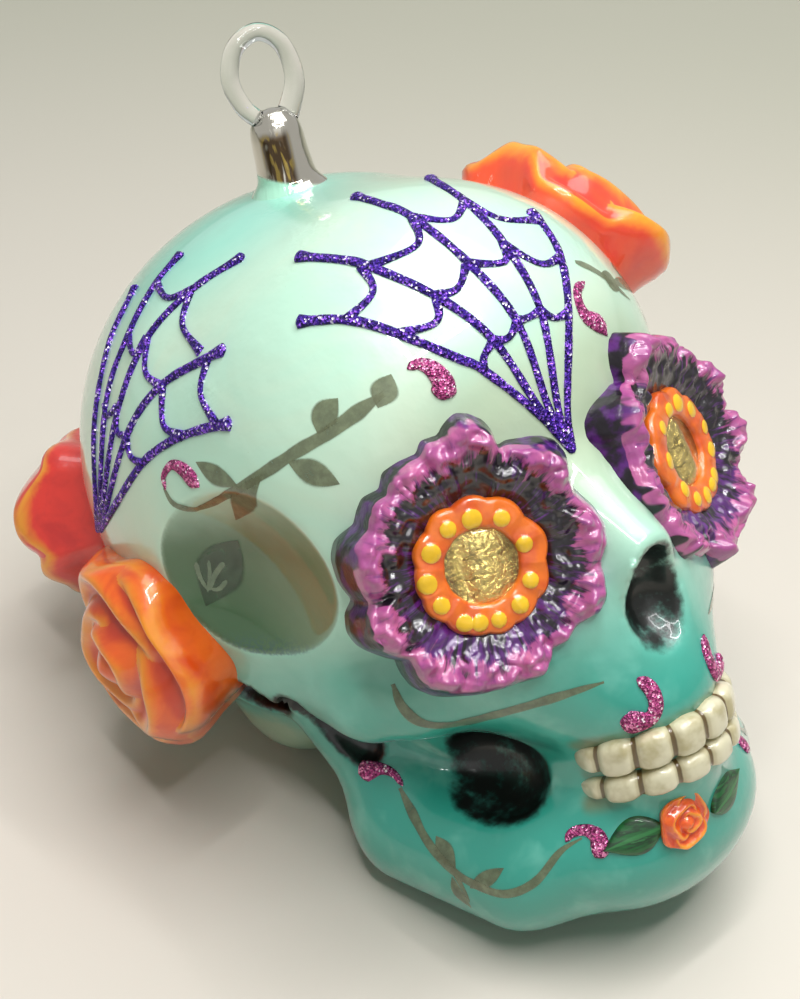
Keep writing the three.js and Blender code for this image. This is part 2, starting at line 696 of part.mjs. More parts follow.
// Tilt at which the chin and the back of the skull base stand level, found by halving
const skinDirections = solidOfGeometry(new THREE.IcosahedronGeometry(1, skinDetail)).points;
const skinPoints = skinDirections.map((direction) => skinPoint(direction.normalize(), 0));
const heightAt = (point, turn) => point.z * Math.cos(turn) - point.y * Math.sin(turn);
const lowest = (points, turn) => Math.min(...points.map((point) => heightAt(point, turn)));

function restTilt() {
  const front = skinPoints.filter((point) => point.y < 0);
  const back = skinPoints.filter((point) => point.y >= 0);
  let [level, steep] = [0, Math.PI / 4];
  for (let step = 0; step < traceSteps; step += 1) {
    const middle = (level + steep) / 2;
    if (lowest(front, middle) < lowest(back, middle)) level = middle;
    else steep = middle;
  }
  return level;
}

const tilt = restTilt();
const standing = new THREE.Matrix4().makeRotationX(-tilt);
const groundHeight = lowest(skinPoints, tilt) + flatDepth;

function groundBlock() {
  const block = new THREE.BoxGeometry(2 * cageWidth, 2 * cageDepth, cageHeight);
  block.translate(0, 0, groundHeight - cageHeight / 2);
  block.applyMatrix4(standing.clone().invert());
  const { points, faces } = solidOfGeometry(block);
  return solidOf(points, faces);
}

// The head group turns the upright form back onto its rest and sets its middle over the origin
const group = new THREE.Group();
const head = new THREE.Group();
group.add(head);

function addNode(name, solid, colour, roughness, metalness) {
  const { vertProperties, triVerts } = solid.getMesh();
  const geometry = new THREE.BufferGeometry();
  geometry.setAttribute('position', new THREE.BufferAttribute(vertProperties, 3));
  geometry.setIndex(new THREE.BufferAttribute(triVerts, 1));
  geometry.computeVertexNormals();
  const material = new THREE.MeshStandardMaterial({ color: colour, roughness, metalness });
  const mesh = new THREE.Mesh(geometry, material);
  mesh.name = name;
  head.add(mesh);
}

addNode('skull_shell', skullShell(groundBlock()), colours.mint, enamelRoughness, 0);
addNode('hanger_neck', hangerNeck(), colours.silver, mirrorRoughness, 1);
addNode('hanger_loop', hangerLoop(), colours.clear, mirrorRoughness, 0);

const mirrored = (solid) => solid.mirror([1, 0, 0]);
const sides = [['left', (solid) => solid], ['right', mirrored]];
const axes = eyeAxes();
const eyeParts = [
  ['eye_petals', eyePetals(axes), colours.orchid, enamelRoughness, 0],
  ['eye_ring', eyeRing(axes), colours.orange, enamelRoughness, 0],
  ['eye_mirror', eyeMirror(axes), colours.gold, mirrorRoughness, 1],
];
for (const [side, turnedTo] of sides) {
  for (const [name, solid, ...finish] of eyeParts) addNode(`${side}_${name}`, turnedTo(solid), ...finish);
}

for (const { name, place, facing, colour, ...form } of roses) {
  const origin = skinPoint(bearing(place), 0);
  addNode(name, rose(seatAxes(origin, bearing(facing)), form), colour, enamelRoughness, 0);
}
addNode('chin_leaf_right', chinLeaf(rightLeafPlace, rightLeafHeading), colours.leaf, enamelRoughness, 0);
addNode('chin_leaf_left', chinLeaf(leftLeafPlace, leftLeafHeading), colours.leaf, enamelRoughness, 0);

const lowerToothBottom = -toothParting / 2 - lowerToothHeight;
addNode('upper_teeth', toothRow(toothParting / 2, upperToothHeight), colours.ivory, enamelRoughness, 0);
addNode('lower_teeth', toothRow(lowerToothBottom, lowerToothHeight), colours.ivory, enamelRoughness, 0);

for (const { name, ...form } of webs) addNode(name, web(form), colours.violet, glitterRoughness, 0);
for (const [side, curls] of [['right', rightCurls], ['left', leftCurls]]) {
  for (const { name, ...form } of curls) {
    addNode(`${side}_${name}_curl`, curl(form), colours.pink, glitterRoughness, 0);
  }
}

head.setRotationFromMatrix(standing);
head.position.z = -groundHeight;
group.updateMatrixWorld(true);
const box = new THREE.Box3().setFromObject(group, true);
head.position.x = -(box.min.x + box.max.x) / 2;
head.position.y = -(box.min.y + box.max.y) / 2;

export default group;
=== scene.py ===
import bpy
import bmesh
import math
import numpy as np
from mathutils import Matrix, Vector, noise


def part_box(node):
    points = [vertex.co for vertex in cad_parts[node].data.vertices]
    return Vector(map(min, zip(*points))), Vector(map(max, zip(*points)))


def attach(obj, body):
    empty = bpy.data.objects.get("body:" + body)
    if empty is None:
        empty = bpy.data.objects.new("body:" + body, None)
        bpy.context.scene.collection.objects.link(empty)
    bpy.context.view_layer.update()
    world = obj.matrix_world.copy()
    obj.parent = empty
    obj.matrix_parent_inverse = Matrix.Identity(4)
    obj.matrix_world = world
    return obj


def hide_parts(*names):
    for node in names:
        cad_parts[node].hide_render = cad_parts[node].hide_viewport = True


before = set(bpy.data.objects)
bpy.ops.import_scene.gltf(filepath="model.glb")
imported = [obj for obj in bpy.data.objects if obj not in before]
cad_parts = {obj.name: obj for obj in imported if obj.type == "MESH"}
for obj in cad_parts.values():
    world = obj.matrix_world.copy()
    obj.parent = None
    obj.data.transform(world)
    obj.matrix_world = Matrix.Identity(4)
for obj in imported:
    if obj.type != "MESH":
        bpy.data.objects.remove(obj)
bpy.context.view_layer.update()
mm = 0.001
print("frame loaded:", len(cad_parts), "nodes")


# shader expressions

class Wire:  # one socket of a material; sums on it add Math nodes
    def __init__(self, recipe, socket):
        self.recipe, self.socket = recipe, socket

    def maths(self, operation, *others):
        return self.recipe.maths(operation, self, *others)

    def __add__(self, other):
        return self.maths("ADD", other)

    def __sub__(self, other):
        return self.maths("SUBTRACT", other)

    def __rsub__(self, other):
        return self.recipe.maths("SUBTRACT", other, self)

    def __mul__(self, other):
        return self.maths("MULTIPLY", other)

    def __truediv__(self, other):
        return self.maths("DIVIDE", other)

    __radd__, __rmul__ = __add__, __mul__


def tone(red, green, blue):  # a screen colour, 0 to 255, as the renderer's own
    shares = [c / 255 for c in (red, green, blue)]
    return [s / 12.92 if s <= 0.04045 else ((s + 0.055) / 1.055) ** 2.4 for s in shares] + [1.0]


class Recipe:  # one material, or the world, and the nodes that make it
    def __init__(self, name, kind="materials"):
        self.made = getattr(bpy.data, kind).new(name)
        self.made.use_nodes = True
        self.tree = self.made.node_tree
        self.tree.nodes.clear()

    def node(self, kind, settings=None, sockets=None, out=0):
        made = self.tree.nodes.new(kind)
        for key, value in (settings or {}).items():
            setattr(made, key, value)
        for key, value in (sockets or {}).items():
            if isinstance(value, Wire):
                self.tree.links.new(value.socket, made.inputs[key])
            else:
                made.inputs[key].default_value = value
        return None if out is None else Wire(self, made.outputs[out])

    def maths(self, operation, *values):
        return self.node("ShaderNodeMath", {"operation": operation}, dict(enumerate(values)))

    def fade(self, value, start, end):  # 0 at start, 1 at end, smooth between
        return self.node("ShaderNodeMapRange", {"interpolation_type": "SMOOTHSTEP"},
                         {0: value, 1: start, 2: end, 3: 0.0, 4: 1.0})

    def mix(self, share, a, b):
        return self.node("ShaderNodeMix", {"data_type": "RGBA"}, {0: share, 6: a, 7: b}, out=2)

    def vector(self, operation, a, b=None, scale=None, out=0):
        sockets = {0: a}
        if b is not None:
            sockets[1] = b
        if scale is not None:
            sockets[3] = scale
        return self.node("ShaderNodeVectorMath", {"operation": operation}, sockets, out)

    def place(self):  # where a point is in the upright mould, in millimetres
        return self.node("ShaderNodeAttribute", {"attribute_name": "mouldPlace"}, out=1)

    def world(self):  # where a point of the studio is, in millimetres
        coords = self.node("ShaderNodeTexCoord", out=3)
        return self.vector("SCALE", coords, scale=1 / mm)

    def split(self, vector):
        made = self.node("ShaderNodeSeparateXYZ", None, {0: vector}).socket.node
        return [Wire(self, made.outputs[i]) for i in range(3)]

    def join(self, x, y, z):
        return self.node("ShaderNodeCombineXYZ", None, {0: x, 1: y, 2: z})

    def attribute(self, name):  # a value that the mesh carries at each point
        return self.node("ShaderNodeAttribute", {"attribute_name": name}, out=2)

    def noise(self, place, scale, detail=3.0, roughness=0.5, distortion=0.0):
        return self.node("ShaderNodeTexNoise", None,
                         {"Vector": place, "Scale": scale, "Detail": detail,
                          "Roughness": roughness, "Distortion": distortion})

    def cells(self, place, scale, out="Distance"):
        return self.node("ShaderNodeTexVoronoi", None, {"Vector": place, "Scale": scale}, out=out)

    def bump(self, height, distance, strength):
        return self.node("ShaderNodeBump", None,
                         {"Strength": strength, "Distance": distance * mm, "Height": height})

    def lump(self, place, centre, radii):  # 0 in the middle of a lump, 1 on its skin
        away = self.vector("SUBTRACT", place, centre)
        scaled = self.vector("DIVIDE", away, radii)
        return self.vector("LENGTH", scaled, out=1)

    def finish(self, **sockets):
        shader = self.node("ShaderNodeBsdfPrincipled", None,
                           {key.replace("_", " "): value for key, value in sockets.items()})
        self.node("ShaderNodeOutputMaterial", None, {"Surface": shader}, out=None)
        return self.made


enamel = {"Roughness": 0.3, "Coat_Weight": 1.0, "Coat_Roughness": 0.03}  # a hard clear gloss over paint


# the head's form, upright, in millimetres: face towards -Y, chin at 0

headForm = {
    "cranium": [
        {"centre": (0, 11, 58.8), "radii": (39.3, 43.5, 38.4), "blend": 0},  # braincase
        {"centre": (0, -12.5, 66), "radii": (31, 24.5, 30.5), "blend": 10},  # forehead
        {"centre": (0, 14, 43), "radii": (32, 33, 27), "blend": 10},  # skull base
        {"centre": (0, -28, 44), "radii": (20, 20, 20), "blend": 8},  # middle of the face
        {"ends": ((24, -16, 36), (13, -33, 42)), "radii": (6, 6), "blend": 8},  # cheekbone
        {"ends": ((21, -22, 38), (31, 4, 37.5)), "radii": (6, 3.4), "blend": 4},  # cheek arch
        {"centre": (0, -36, 34), "radii": (12.5, 15.3, 10), "blend": 6},  # upper jaw
        {"ends": ((0, -37, 60), (0, -46, 54)), "radii": (3.5, 4), "blend": 5},  # nose bone
        {"centre": (18.5, 13.5, 24.5), "radii": (9, 10, 9), "blend": 5},  # lump behind the ear
    ],
    "jaw": [
        {"ends": ((20.5, -13, 12.5), (16.5, -30, 9.5)), "radii": (8.8, 8.6), "blend": 0},  # side
        {"centre": (0, -36, 12.5), "radii": (18.5, 14.5, 12.5), "blend": 6},  # chin
        {"ends": ((20.5, -10, 18), (24, 1, 35)), "radii": (6, 5.5), "blend": 6},  # rising branch
        {"centre": (0, -12, 34), "radii": (20, 26, 17), "blend": 8},  # throat
        {"centre": (0, -36.5, 25), "radii": (11.2, 15, 13), "blend": 4},  # behind the teeth
    ],
    "hollows": [
        {"centre": (54.5, -16.8, 55.2), "radii": (26, 26, 26), "blend": 0.6, "paint": "temple"},
        {"centre": (16.8, -28, 23.6), "radii": (7, 8.5, 5.8), "blend": 0.8, "paint": "pit"},  # beside the teeth
        # along the jaw's branch under the cheek arch, and behind it
        {"ends": ((30.6, -6.4, 34), (24.6, -11.2, 26.4)), "radii": (3.2, 2.4), "blend": 0.6, "paint": "pit"},
        {"centre": (33, 3.4, 33.8), "radii": (8, 6.5, 5), "blend": 0.8, "paint": "pit"},
        {"centre": (0, -52, 47), "radii": (5.2, 8.5, 6), "blend": 1.5, "paint": "pit"},  # nostrils
        {"centre": (0, -51.5, 51), "radii": (3.4, 7, 4.5), "blend": 1.5, "paint": "pit"},  # top of the nose
        {"centre": (22, -48, 63), "radii": (17, 15, 18), "blend": 3},  # eye socket
    ],
    "seam": 2,
    "heart": (0, -12, 36),  # inner point that sees the whole surface
    "cell": 0.75,  # size of the mesh's squares
    "reach": (46, 62, 104),  # half the width, half the depth and the height of the box that holds it
}
heart = np.array(headForm["heart"], float)


def lumpDistance(points, lump):  # to an egg, or to a rod with round ends
    if "centre" in lump:
        radii = np.array(lump["radii"], float)
        scaled = (points - np.array(lump["centre"], float)) / radii
        depth = np.linalg.norm(scaled, axis=-1)
        return depth * (depth - 1) / np.maximum(np.linalg.norm(scaled / radii, axis=-1), 1e-9)
    start, stop = (np.array(end, float) for end in lump["ends"])
    axis = stop - start
    share = np.clip((points - start) @ axis / (axis @ axis), 0, 1)
    away = points - start - share[..., None] * axis
    return np.linalg.norm(away, axis=-1) - (lump["radii"][0] + (lump["radii"][1] - lump["radii"][0]) * share)


def blended(a, b, width):  # the nearer of two, rounded where they meet
    if width == 0:
        return np.minimum(a, b)
    share = np.clip(0.5 + (b - a) / (2 * width), 0, 1)
    return b + (a - b) * share - width * share * (1 - share)


def headDistance(points):  # below 0 inside the glass
    side = points.copy()
    side[..., 0] = np.abs(side[..., 0])
    cranium = jaw = np.full(side.shape[:-1], 1e6)
    for lump in headForm["cranium"]:
        cranium = blended(cranium, lumpDistance(side, lump), lump["blend"])
    for lump in headForm["jaw"]:
        jaw = blended(jaw, lumpDistance(side, lump), lump["blend"])
    distance = blended(cranium, jaw, headForm["seam"])
    for hollow in headForm["hollows"]:
        distance = -blended(-distance, lumpDistance(side, hollow), hollow["blend"])
    return distance


def onGlass(directions):  # the skin along directions from the heart, reached from outside
    directions = np.array(directions, float)
    directions /= np.linalg.norm(directions, axis=-1, keepdims=True)
    reach = np.full(directions.shape[:-1], 100.0)
    for _ in range(60):
        reach -= 0.8 * headDistance(heart + directions * reach[..., None])
    return heart + directions * reach[..., None]


def glassNormal(points):
    slopes = [headDistance(points + step) - headDistance(points - step) for step in np.eye(3) * 0.15]
    normal = np.stack(slopes, -1)
    return normal / np.linalg.norm(normal, axis=-1, keepdims=True)


def laid(points, lift=0.0):  # points moved onto the glass nearby, then lifted off it
    skin = np.array(points, float)
    for _ in range(5):
        skin -= glassNormal(skin) * headDistance(skin)[..., None]
    return skin + glassNormal(skin) * np.asarray(lift, float)[..., None]


def bearing(longitude, latitude):  # longitude turns from the face to the left side
    lon, lat = math.radians(longitude), math.radians(latitude)
    return np.array([math.cos(lat) * math.sin(lon), -math.cos(lat) * math.cos(lon), math.sin(lat)])


# the rest pose: tilted back until jaw and skull base stand level

def headMesh():  # a square mesh round the zero level, pits and all
    cell, (wide, deep, tall) = headForm["cell"], headForm["reach"]
    axes = [np.arange(low, high, cell) for low, high in ((-wide, wide), (-deep, deep), (-3, tall))]
    grid = np.stack(np.meshgrid(*axes, indexing="ij"), -1)
    level = np.concatenate([headDistance(slab) for slab in np.array_split(grid, 16)])
    inside = level < 0
    corners = sum(inside[i:i - 1 or None, j:j - 1 or None, k:k - 1 or None].astype(int)
                  for i in (0, 1) for j in (0, 1) for k in (0, 1))
    mixed = (corners > 0) & (corners < 8)
    number = np.full(mixed.shape, -1)
    number[mixed] = np.arange(mixed.sum())
    points = grid[:-1, :-1, :-1][mixed] + cell / 2
    for _ in range(6):
        points -= glassNormal(points) * headDistance(points)[:, None]
    faces = []
    for axis in range(3):
        one, two = (axis + 1) % 3, (axis + 2) % 3
        ahead = np.take(inside, range(1, inside.shape[axis]), axis)
        here = np.take(inside, range(inside.shape[axis] - 1), axis)
        for value in (True, False):
            edge = np.argwhere((here == value) & (ahead != value))
            ring = []
            for a, b in ((0, 0), (1, 0), (1, 1), (0, 1)):
                cellAt = edge.copy()
                cellAt[:, one] -= a
                cellAt[:, two] -= b
                ring.append(number[tuple(cellAt.T)])
            faces.append(np.stack(ring if value else ring[::-1], -1))
    return points, np.concatenate(faces).tolist()


headPoints, headFaces = headMesh()


def lowest(points, turn):  # the lowest point once tilted back
    return (points[:, 2] * math.cos(turn) - points[:, 1] * math.sin(turn)).min()


def restTilt():
    front, back = headPoints[headPoints[:, 1] < 0], headPoints[headPoints[:, 1] >= 0]
    level, steep = 0.0, math.pi / 4
    for _ in range(40):
        middle = (level + steep) / 2
        if lowest(front, middle) < lowest(back, middle):
            level = middle
        else:
            steep = middle
    return level


tilt = restTilt()
turned = headPoints @ np.array(Matrix.Rotation(-tilt, 3, "X")).T
shellLow, shellHigh = (np.array(corner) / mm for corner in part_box("skull_shell"))
headShift = (shellLow + shellHigh - turned.max(0) - turned.min(0)) / 2
headShift[2] = shellHigh[2] - turned[:, 2].max()
standing = Matrix.Translation(headShift * mm) @ Matrix.Rotation(-tilt, 4, "X")
print("head stands at a tilt of", round(math.degrees(tilt), 2), "degrees")

# the camera, fitted to the photograph in the upright head's own axes
lensView = {
    "place": (-122.55, -186.89, 147.07),
    "right": (0.76637, -0.60423, -0.21815),
    "up": (0.40628, 0.19283, 0.89317),
    "ahead": (0.49762, 0.77312, -0.39326),
    "focus": 1688.0,  # in pixels of the picture
    "picture": (800, 999),
}
eye, ahead, right, up = (np.array(lensView[key]) for key in ("place", "ahead", "right", "up"))


def sightLines(pixels):  # from the camera through pixels of the photograph
    pixels = np.array(pixels, float)
    across = (pixels[..., 0:1] - lensView["picture"][0] / 2) / lensView["focus"]
    down = (pixels[..., 1:2] - lensView["picture"][1] / 2) / lensView["focus"]
    ray = ahead + across * right - down * up
    return ray / np.linalg.norm(ray, axis=-1, keepdims=True)


def fromPhoto(pixels):  # the glass behind pixels of the photograph
    ray = sightLines(pixels)
    start, end, stride = 120.0, 260.0, 20.0  # before and past the head, and the longest step
    reach = np.full(ray.shape[:-1], start)
    for _ in range(150):
        reach += 0.7 * np.minimum(headDistance(eye + ray * reach[..., None]), stride)
        reach = np.minimum(reach, end)
    return eye + ray * reach[..., None]


def onPlate(pixels, seat, level):  # where pixels of the photograph fall on a plate laid on a seat
    turn = np.array(seat.to_3x3())
    start = (eye - np.array(seat.translation) / mm) @ turn
    ray = sightLines(pixels) @ turn
    return (start + ray * ((level - start[2]) / ray[:, 2])[:, None])[:, :2]


# meshes

def addObject(name, data):
    made = bpy.data.objects.new(name, data)
    bpy.context.scene.collection.objects.link(made)
    return made


def roundTurn(count):  # even angles round a circle
    return np.linspace(0, 2 * math.pi, count, endpoint=False)


def addPiece(name, points, faces, material, nodes=(), attributes=None, place=None):
    mesh = bpy.data.meshes.new(name)
    mesh.from_pydata((np.asarray(points) * mm).tolist(), [], faces)
    layer = mesh.attributes.new("mouldPlace", "FLOAT_VECTOR", "POINT")
    layer.data.foreach_set("vector", np.asarray(points, np.float32).ravel())
    for key, values in (attributes or {}).items():
        layer = mesh.attributes.new(key, "FLOAT", "POINT")
        layer.data.foreach_set("value", np.asarray(values, np.float32))
    mesh.materials.append(material)
    mesh.polygons.foreach_set("use_smooth", [True] * len(mesh.polygons))
    work = bmesh.new()
    work.from_mesh(mesh)
    bmesh.ops.recalc_face_normals(work, faces=work.faces)
    work.to_mesh(mesh)
    work.free()
    mesh.transform(standing @ (place or Matrix.Identity(4)))
    piece = addObject(name, mesh)
    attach(piece, "root")
    if nodes:
        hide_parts(*nodes)


def gridFaces(rows, columns, wrapRows=False, wrapColumns=True, start=0):
    faces = []
    for row in range(rows if wrapRows else rows - 1):
        here, there = start + row * columns, start + (row + 1) % rows * columns
        for column in range(columns if wrapColumns else columns - 1):
            beside = (column + 1) % columns
            faces.append([here + column, here + beside, there + beside, there + column])
    return faces


def capFaces(rows, columns, start=0):  # closes both ends of a grid
    last = start + (rows - 1) * columns
    return [list(range(start, start + columns)), list(range(last, last + columns))]


def smoothLine(points, step):  # a Catmull-Rom line through points, at an even step
    points = np.asarray(points, float)
    padded = np.vstack([2 * points[0] - points[1], points, 2 * points[-1] - points[-2]])
    fine, cuts = [], 16
    for i in range(len(points) - 1):
        a, b, c, d = padded[i:i + 4]
        for t in np.linspace(0, 1, cuts, endpoint=False):
            fine.append(0.5 * (2 * b + (c - a) * t + (2 * a - 5 * b + 4 * c - d) * t ** 2
                               + (3 * b - a - 3 * c + d) * t ** 3))
    fine = np.vstack([fine, points[-1:]])
    way = np.concatenate([[0], np.cumsum(np.linalg.norm(np.diff(fine, axis=0), axis=1))])
    count = max(int(way[-1] / step), 3)
    even = np.linspace(0, way[-1], count + 1)
    return np.stack([np.interp(even, way, fine[:, i]) for i in range(fine.shape[1])], -1)


def columnMatrix(x, y, z, origin):
    return Matrix(np.vstack([np.stack([x, y, z, np.array(origin) * mm], -1), (0, 0, 0, 1)]).tolist())


def frameMatrix(origin, outward):  # Z out of the glass, Y towards the crown
    outward = np.array(outward, float) / np.linalg.norm(outward)
    across = np.cross((0, 0, 1), outward)
    across /= np.linalg.norm(across)
    return columnMatrix(across, np.cross(outward, across), outward, origin)


# skull glass

skullPaint = {
    "cream": tone(208, 230, 206), "sand": tone(178, 194, 162),
    "mint": tone(194, 234, 212), "aqua": tone(132, 214, 196),
    "teal": tone(50, 164, 146), "deepTeal": tone(30, 128, 114),
    "olive": tone(138, 160, 104), "deepOlive": tone(60, 98, 58),
    "pale": tone(158, 172, 138), "gum": tone(120, 112, 66),
    "black": tone(10, 16, 12), "blue": tone(52, 84, 110),
    "tealFrom": 62, "tealTo": 44,  # levels of the upright head
    # middle and radii of the aqua wash, the sandy brow and the lump behind the ear
    "neckWash": ((-6, 20, 96), (30, 30, 24)), "brow": ((9, -38, 66), (22, 16, 19)),
    "knob": ((18.5, 13.5, 24.5), (11, 12, 10)),
}


def skullMaterial():
    paint = Recipe("pearlGlass")
    at = paint.place()
    x, y, z = paint.split(at)
    mirrored = paint.join(x.maths("ABSOLUTE"), y, z)
    cloud = paint.noise(at, 0.045, 4, 0.55, 0.6)
    wisp = paint.noise(at, 0.14, 3, 0.5, 0.3)

    # pale cream crown with an aqua wash towards the neck and the back
    neckWash = 1 - paint.fade(paint.lump(at, *skullPaint["neckWash"]) + (cloud - 0.5) * 0.9, 0.45, 1.05)
    colour = paint.mix(paint.fade(cloud, 0.35, 0.65), skullPaint["cream"], skullPaint["mint"])
    colour = paint.mix(neckWash * 0.75, colour, skullPaint["aqua"])
    brow = 1 - paint.fade(paint.lump(mirrored, *skullPaint["brow"]), 0.5, 1.1)
    colour = paint.mix(brow * 0.8, colour, skullPaint["sand"])

    # teal from the cheekbones down
    level = z + (cloud - 0.5) * 16 + y * 0.12
    teal = paint.fade(level, skullPaint["tealFrom"], skullPaint["tealTo"])
    colour = paint.mix(teal * 0.55, colour, skullPaint["aqua"])
    low = paint.fade(level, 50, 30)
    colour = paint.mix(low, colour, skullPaint["teal"])
    colour = paint.mix(low * paint.fade(wisp, 0.5, 0.75) * 0.45, colour, skullPaint["aqua"])
    colour = paint.mix(paint.fade(level, 16, 2) * 0.35, colour, skullPaint["deepTeal"])

    # smoked temple with a crisp front rim
    temple = paint.attribute("temple")
    smoke = 1 - paint.fade(temple + (wisp - 0.5) * 0.2, 0.0, 0.25)
    shade = paint.fade(y + (cloud - 0.5) * 14, -26, -2)
    olive = paint.mix(shade, skullPaint["olive"], skullPaint["deepOlive"])
    above = paint.fade(z + (wisp - 0.5) * 4, 71, 58)
    colour = paint.mix(smoke * (0.62 + 0.3 * shade) * above, colour, olive)
    rim = paint.fade(temple, -0.9, -0.15) * paint.fade(temple, 0.25, 0.1) * above
    colour = paint.mix(rim * 0.45, colour, skullPaint["deepOlive"])
    foot = paint.fade(temple, -0.6, -0.2) * paint.fade(temple, 0.35, 0.1) * paint.fade(z, 48, 42)
    colour = paint.mix(foot * paint.fade(paint.noise(at, 2.2, 2), 0.42, 0.55) * 0.8, colour, skullPaint["blue"])

    # pale lump behind the ear, brown glaze round the teeth
    knob = 1 - paint.fade(paint.lump(mirrored, *skullPaint["knob"]) + (wisp - 0.5) * 0.4, 0.85, 1.15)
    colour = paint.mix(knob * 0.8, colour, skullPaint["pale"])
    gum = paint.attribute("gum") + (wisp - 0.5) * 1.4
    colour = paint.mix((1 - paint.fade(gum, 0.4, 2.2)) * 0.75, colour, skullPaint["gum"])

    # black paint in the hollows, brushed thin at the edges
    pit = paint.attribute("pit") + (wisp - 0.5) * 1.6 + (paint.noise(at, 0.9, 3, 0.6) - 0.5) * 0.8
    black = 1 - paint.fade(pit, 0.1, 0.9)
    colour = paint.mix(black, colour, skullPaint["black"])

    # fine dark specks under the clear coat
    specks = paint.fade(paint.cells(at, 0.9), 0.06, 0.03) * paint.fade(paint.noise(at, 0.3), 0.55, 0.6)
    colour = paint.mix(specks * 0.35, colour, skullPaint["olive"])

    # soft waves in the glass, finer patches on the crown, a duller temple
    patches = paint.fade(paint.noise(at, 0.06, 2, 0.5), 0.55, 0.66) * paint.fade(z, 66, 84)
    ripple = paint.noise(at, 0.12, 2, 0.5) + paint.noise(at, 0.5, 2, 0.5) * 0.22
    ripple = ripple + patches * paint.noise(at, 1.1, 2) * 0.5
    inTemple = paint.fade(temple, 0.1, -0.2)
    gloss = 1 - 0.7 * black - 0.6 * inTemple * (1 - black)
    return paint.finish(Base_Color=colour, Roughness=0.32 + 0.3 * inTemple, Coat_Weight=gloss,
                        Coat_Roughness=0.03, Normal=paint.bump(ripple, 0.6, 0.4))


def paintedHollows():  # how far each point lies outside each kind of hollow
    side = np.abs(headPoints) * [1, 0, 0] + headPoints * [0, 1, 1]
    return {kind: np.min([lumpDistance(side, hollow)
                          for hollow in headForm["hollows"] if hollow.get("paint") == kind], 0)
            for kind in ("temple", "pit")}


# hanger

hanger = {
    "back": 12, "waistRadius": 3.9, "height": 10.2,
    "outline": [(1.55, -0.1), (1.28, 0.02), (1.08, 0.14), (1.0, 0.35), (0.96, 0.6), (0.93, 0.74), (0.84, 0.87),
                (0.66, 0.97), (0.5, 1.04), (0.0, 1.08)],  # shares of the waist and of the height
    "loopRadius": 4.5, "loopStretch": 0.6, "rodRadius": 1.25, "stemRadius": 1.7, "rise": 5.7, "turn": -12,
    "way": [(0.1, -1.62), (0.62, -1.12), (1.02, -0.35), (0.86, 0.55), (0.2, 1.02), (-0.6, 0.78),
            (-1, 0.05), (-0.82, -0.72), (-0.42, -1.2)],
    # brown and gold are painted reflections on the silvered neck
    "silver": tone(216, 212, 200), "brown": tone(88, 66, 34), "gold": tone(190, 164, 78),
    # edge is painted shade at the clear rod's glancing edges; mint is the neck's painted foot
    "edge": tone(126, 132, 124), "mint": tone(176, 230, 204),
}
crown = onGlass(np.array([[0, hanger["back"] - heart[1], 100.0]]))[0][2]


def tube(line, radii, sides, flat=1.0, normals=None):  # rings of points round a line
    along = np.gradient(line, axis=0)
    along /= np.linalg.norm(along, axis=1, keepdims=True)
    if normals is None:
        normals = np.empty_like(line)
        side = np.cross(along[0], (0.3, 1, 0.2))
        for i, way in enumerate(along):
            side = side - way * (side @ way)
            side /= np.linalg.norm(side)
            normals[i] = side
    across = np.cross(along, normals)
    across /= np.linalg.norm(across, axis=1, keepdims=True)
    angles = roundTurn(sides)
    radii = np.asarray(radii, float)[:, None, None]
    rings = (line[:, None] + radii * np.cos(angles)[None, :, None] * across[:, None]
             + radii * flat * np.sin(angles)[None, :, None] * normals[:, None])
    return rings.reshape(-1, 3)


def hangerNeck():
    columns = 64
    outline = smoothLine([(a * hanger["waistRadius"], b * hanger["height"]) for a, b in hanger["outline"]], 0.3)
    points = [[r * math.cos(a), hanger["back"] + r * math.sin(a), crown + z]
              for r, z in outline[:-1] for a in roundTurn(columns)]
    rows = len(outline) - 1
    return points, gridFaces(rows, columns) + capFaces(rows, columns)[1:]


def silverMaterial():
    paint = Recipe("silveredGlass")
    x, y, z = paint.split(paint.place())
    # painted reflection: brown and gold patches on the band of the neck that faces the lens
    across = x * 0.785 - (y - hanger["back"]) * 0.62
    near = (across + 0.1) / 2.4
    dark = 1 - paint.fade(near.maths("ABSOLUTE"), 0.6, 1.0)
    up = paint.fade(z, crown + 0.2, crown + 1.2) * (1 - paint.fade(z, crown + 7.2, crown + 8.6))
    wave = paint.noise(paint.join(across, y * 0.3, z * 0.22), 0.9, 2, 0.4, 0.8)
    paintedReflection = dark * up
    colour = paint.mix(paintedReflection * paint.fade(wave, 0.32, 0.42), hanger["silver"], hanger["brown"])
    colour = paint.mix(paintedReflection * paint.fade(wave, 0.54, 0.6) * 0.8, colour, hanger["gold"])
    foot = paint.fade(z + across * 0.35, crown + 1.7, crown + 1.1)
    colour = paint.mix(foot, colour, hanger["mint"])
    return paint.finish(Base_Color=colour, Metallic=1 - foot, Roughness=0.07 + 0.1 * wave, Coat_Weight=1.0,
                        Coat_Roughness=0.02, Normal=paint.bump(wave, 0.4, 0.3))


def clearMaterial():
    paint = Recipe("clearRod")
    ripple = paint.noise(paint.place(), 0.4, 2, 0.5)
    # painted shade: grey towards the clear rod's glancing edges
    facing = paint.node("ShaderNodeLayerWeight", None, {"Blend": 0.5}, out=1)
    colour = paint.mix(paint.fade(facing, 0.55, 0.9), tone(250, 252, 250), hanger["edge"])
    return paint.finish(Base_Color=colour, Transmission_Weight=1.0, IOR=1.47,
                        Roughness=0.01 + 0.02 * ripple, Normal=paint.bump(ripple, 0.3, 0.25))


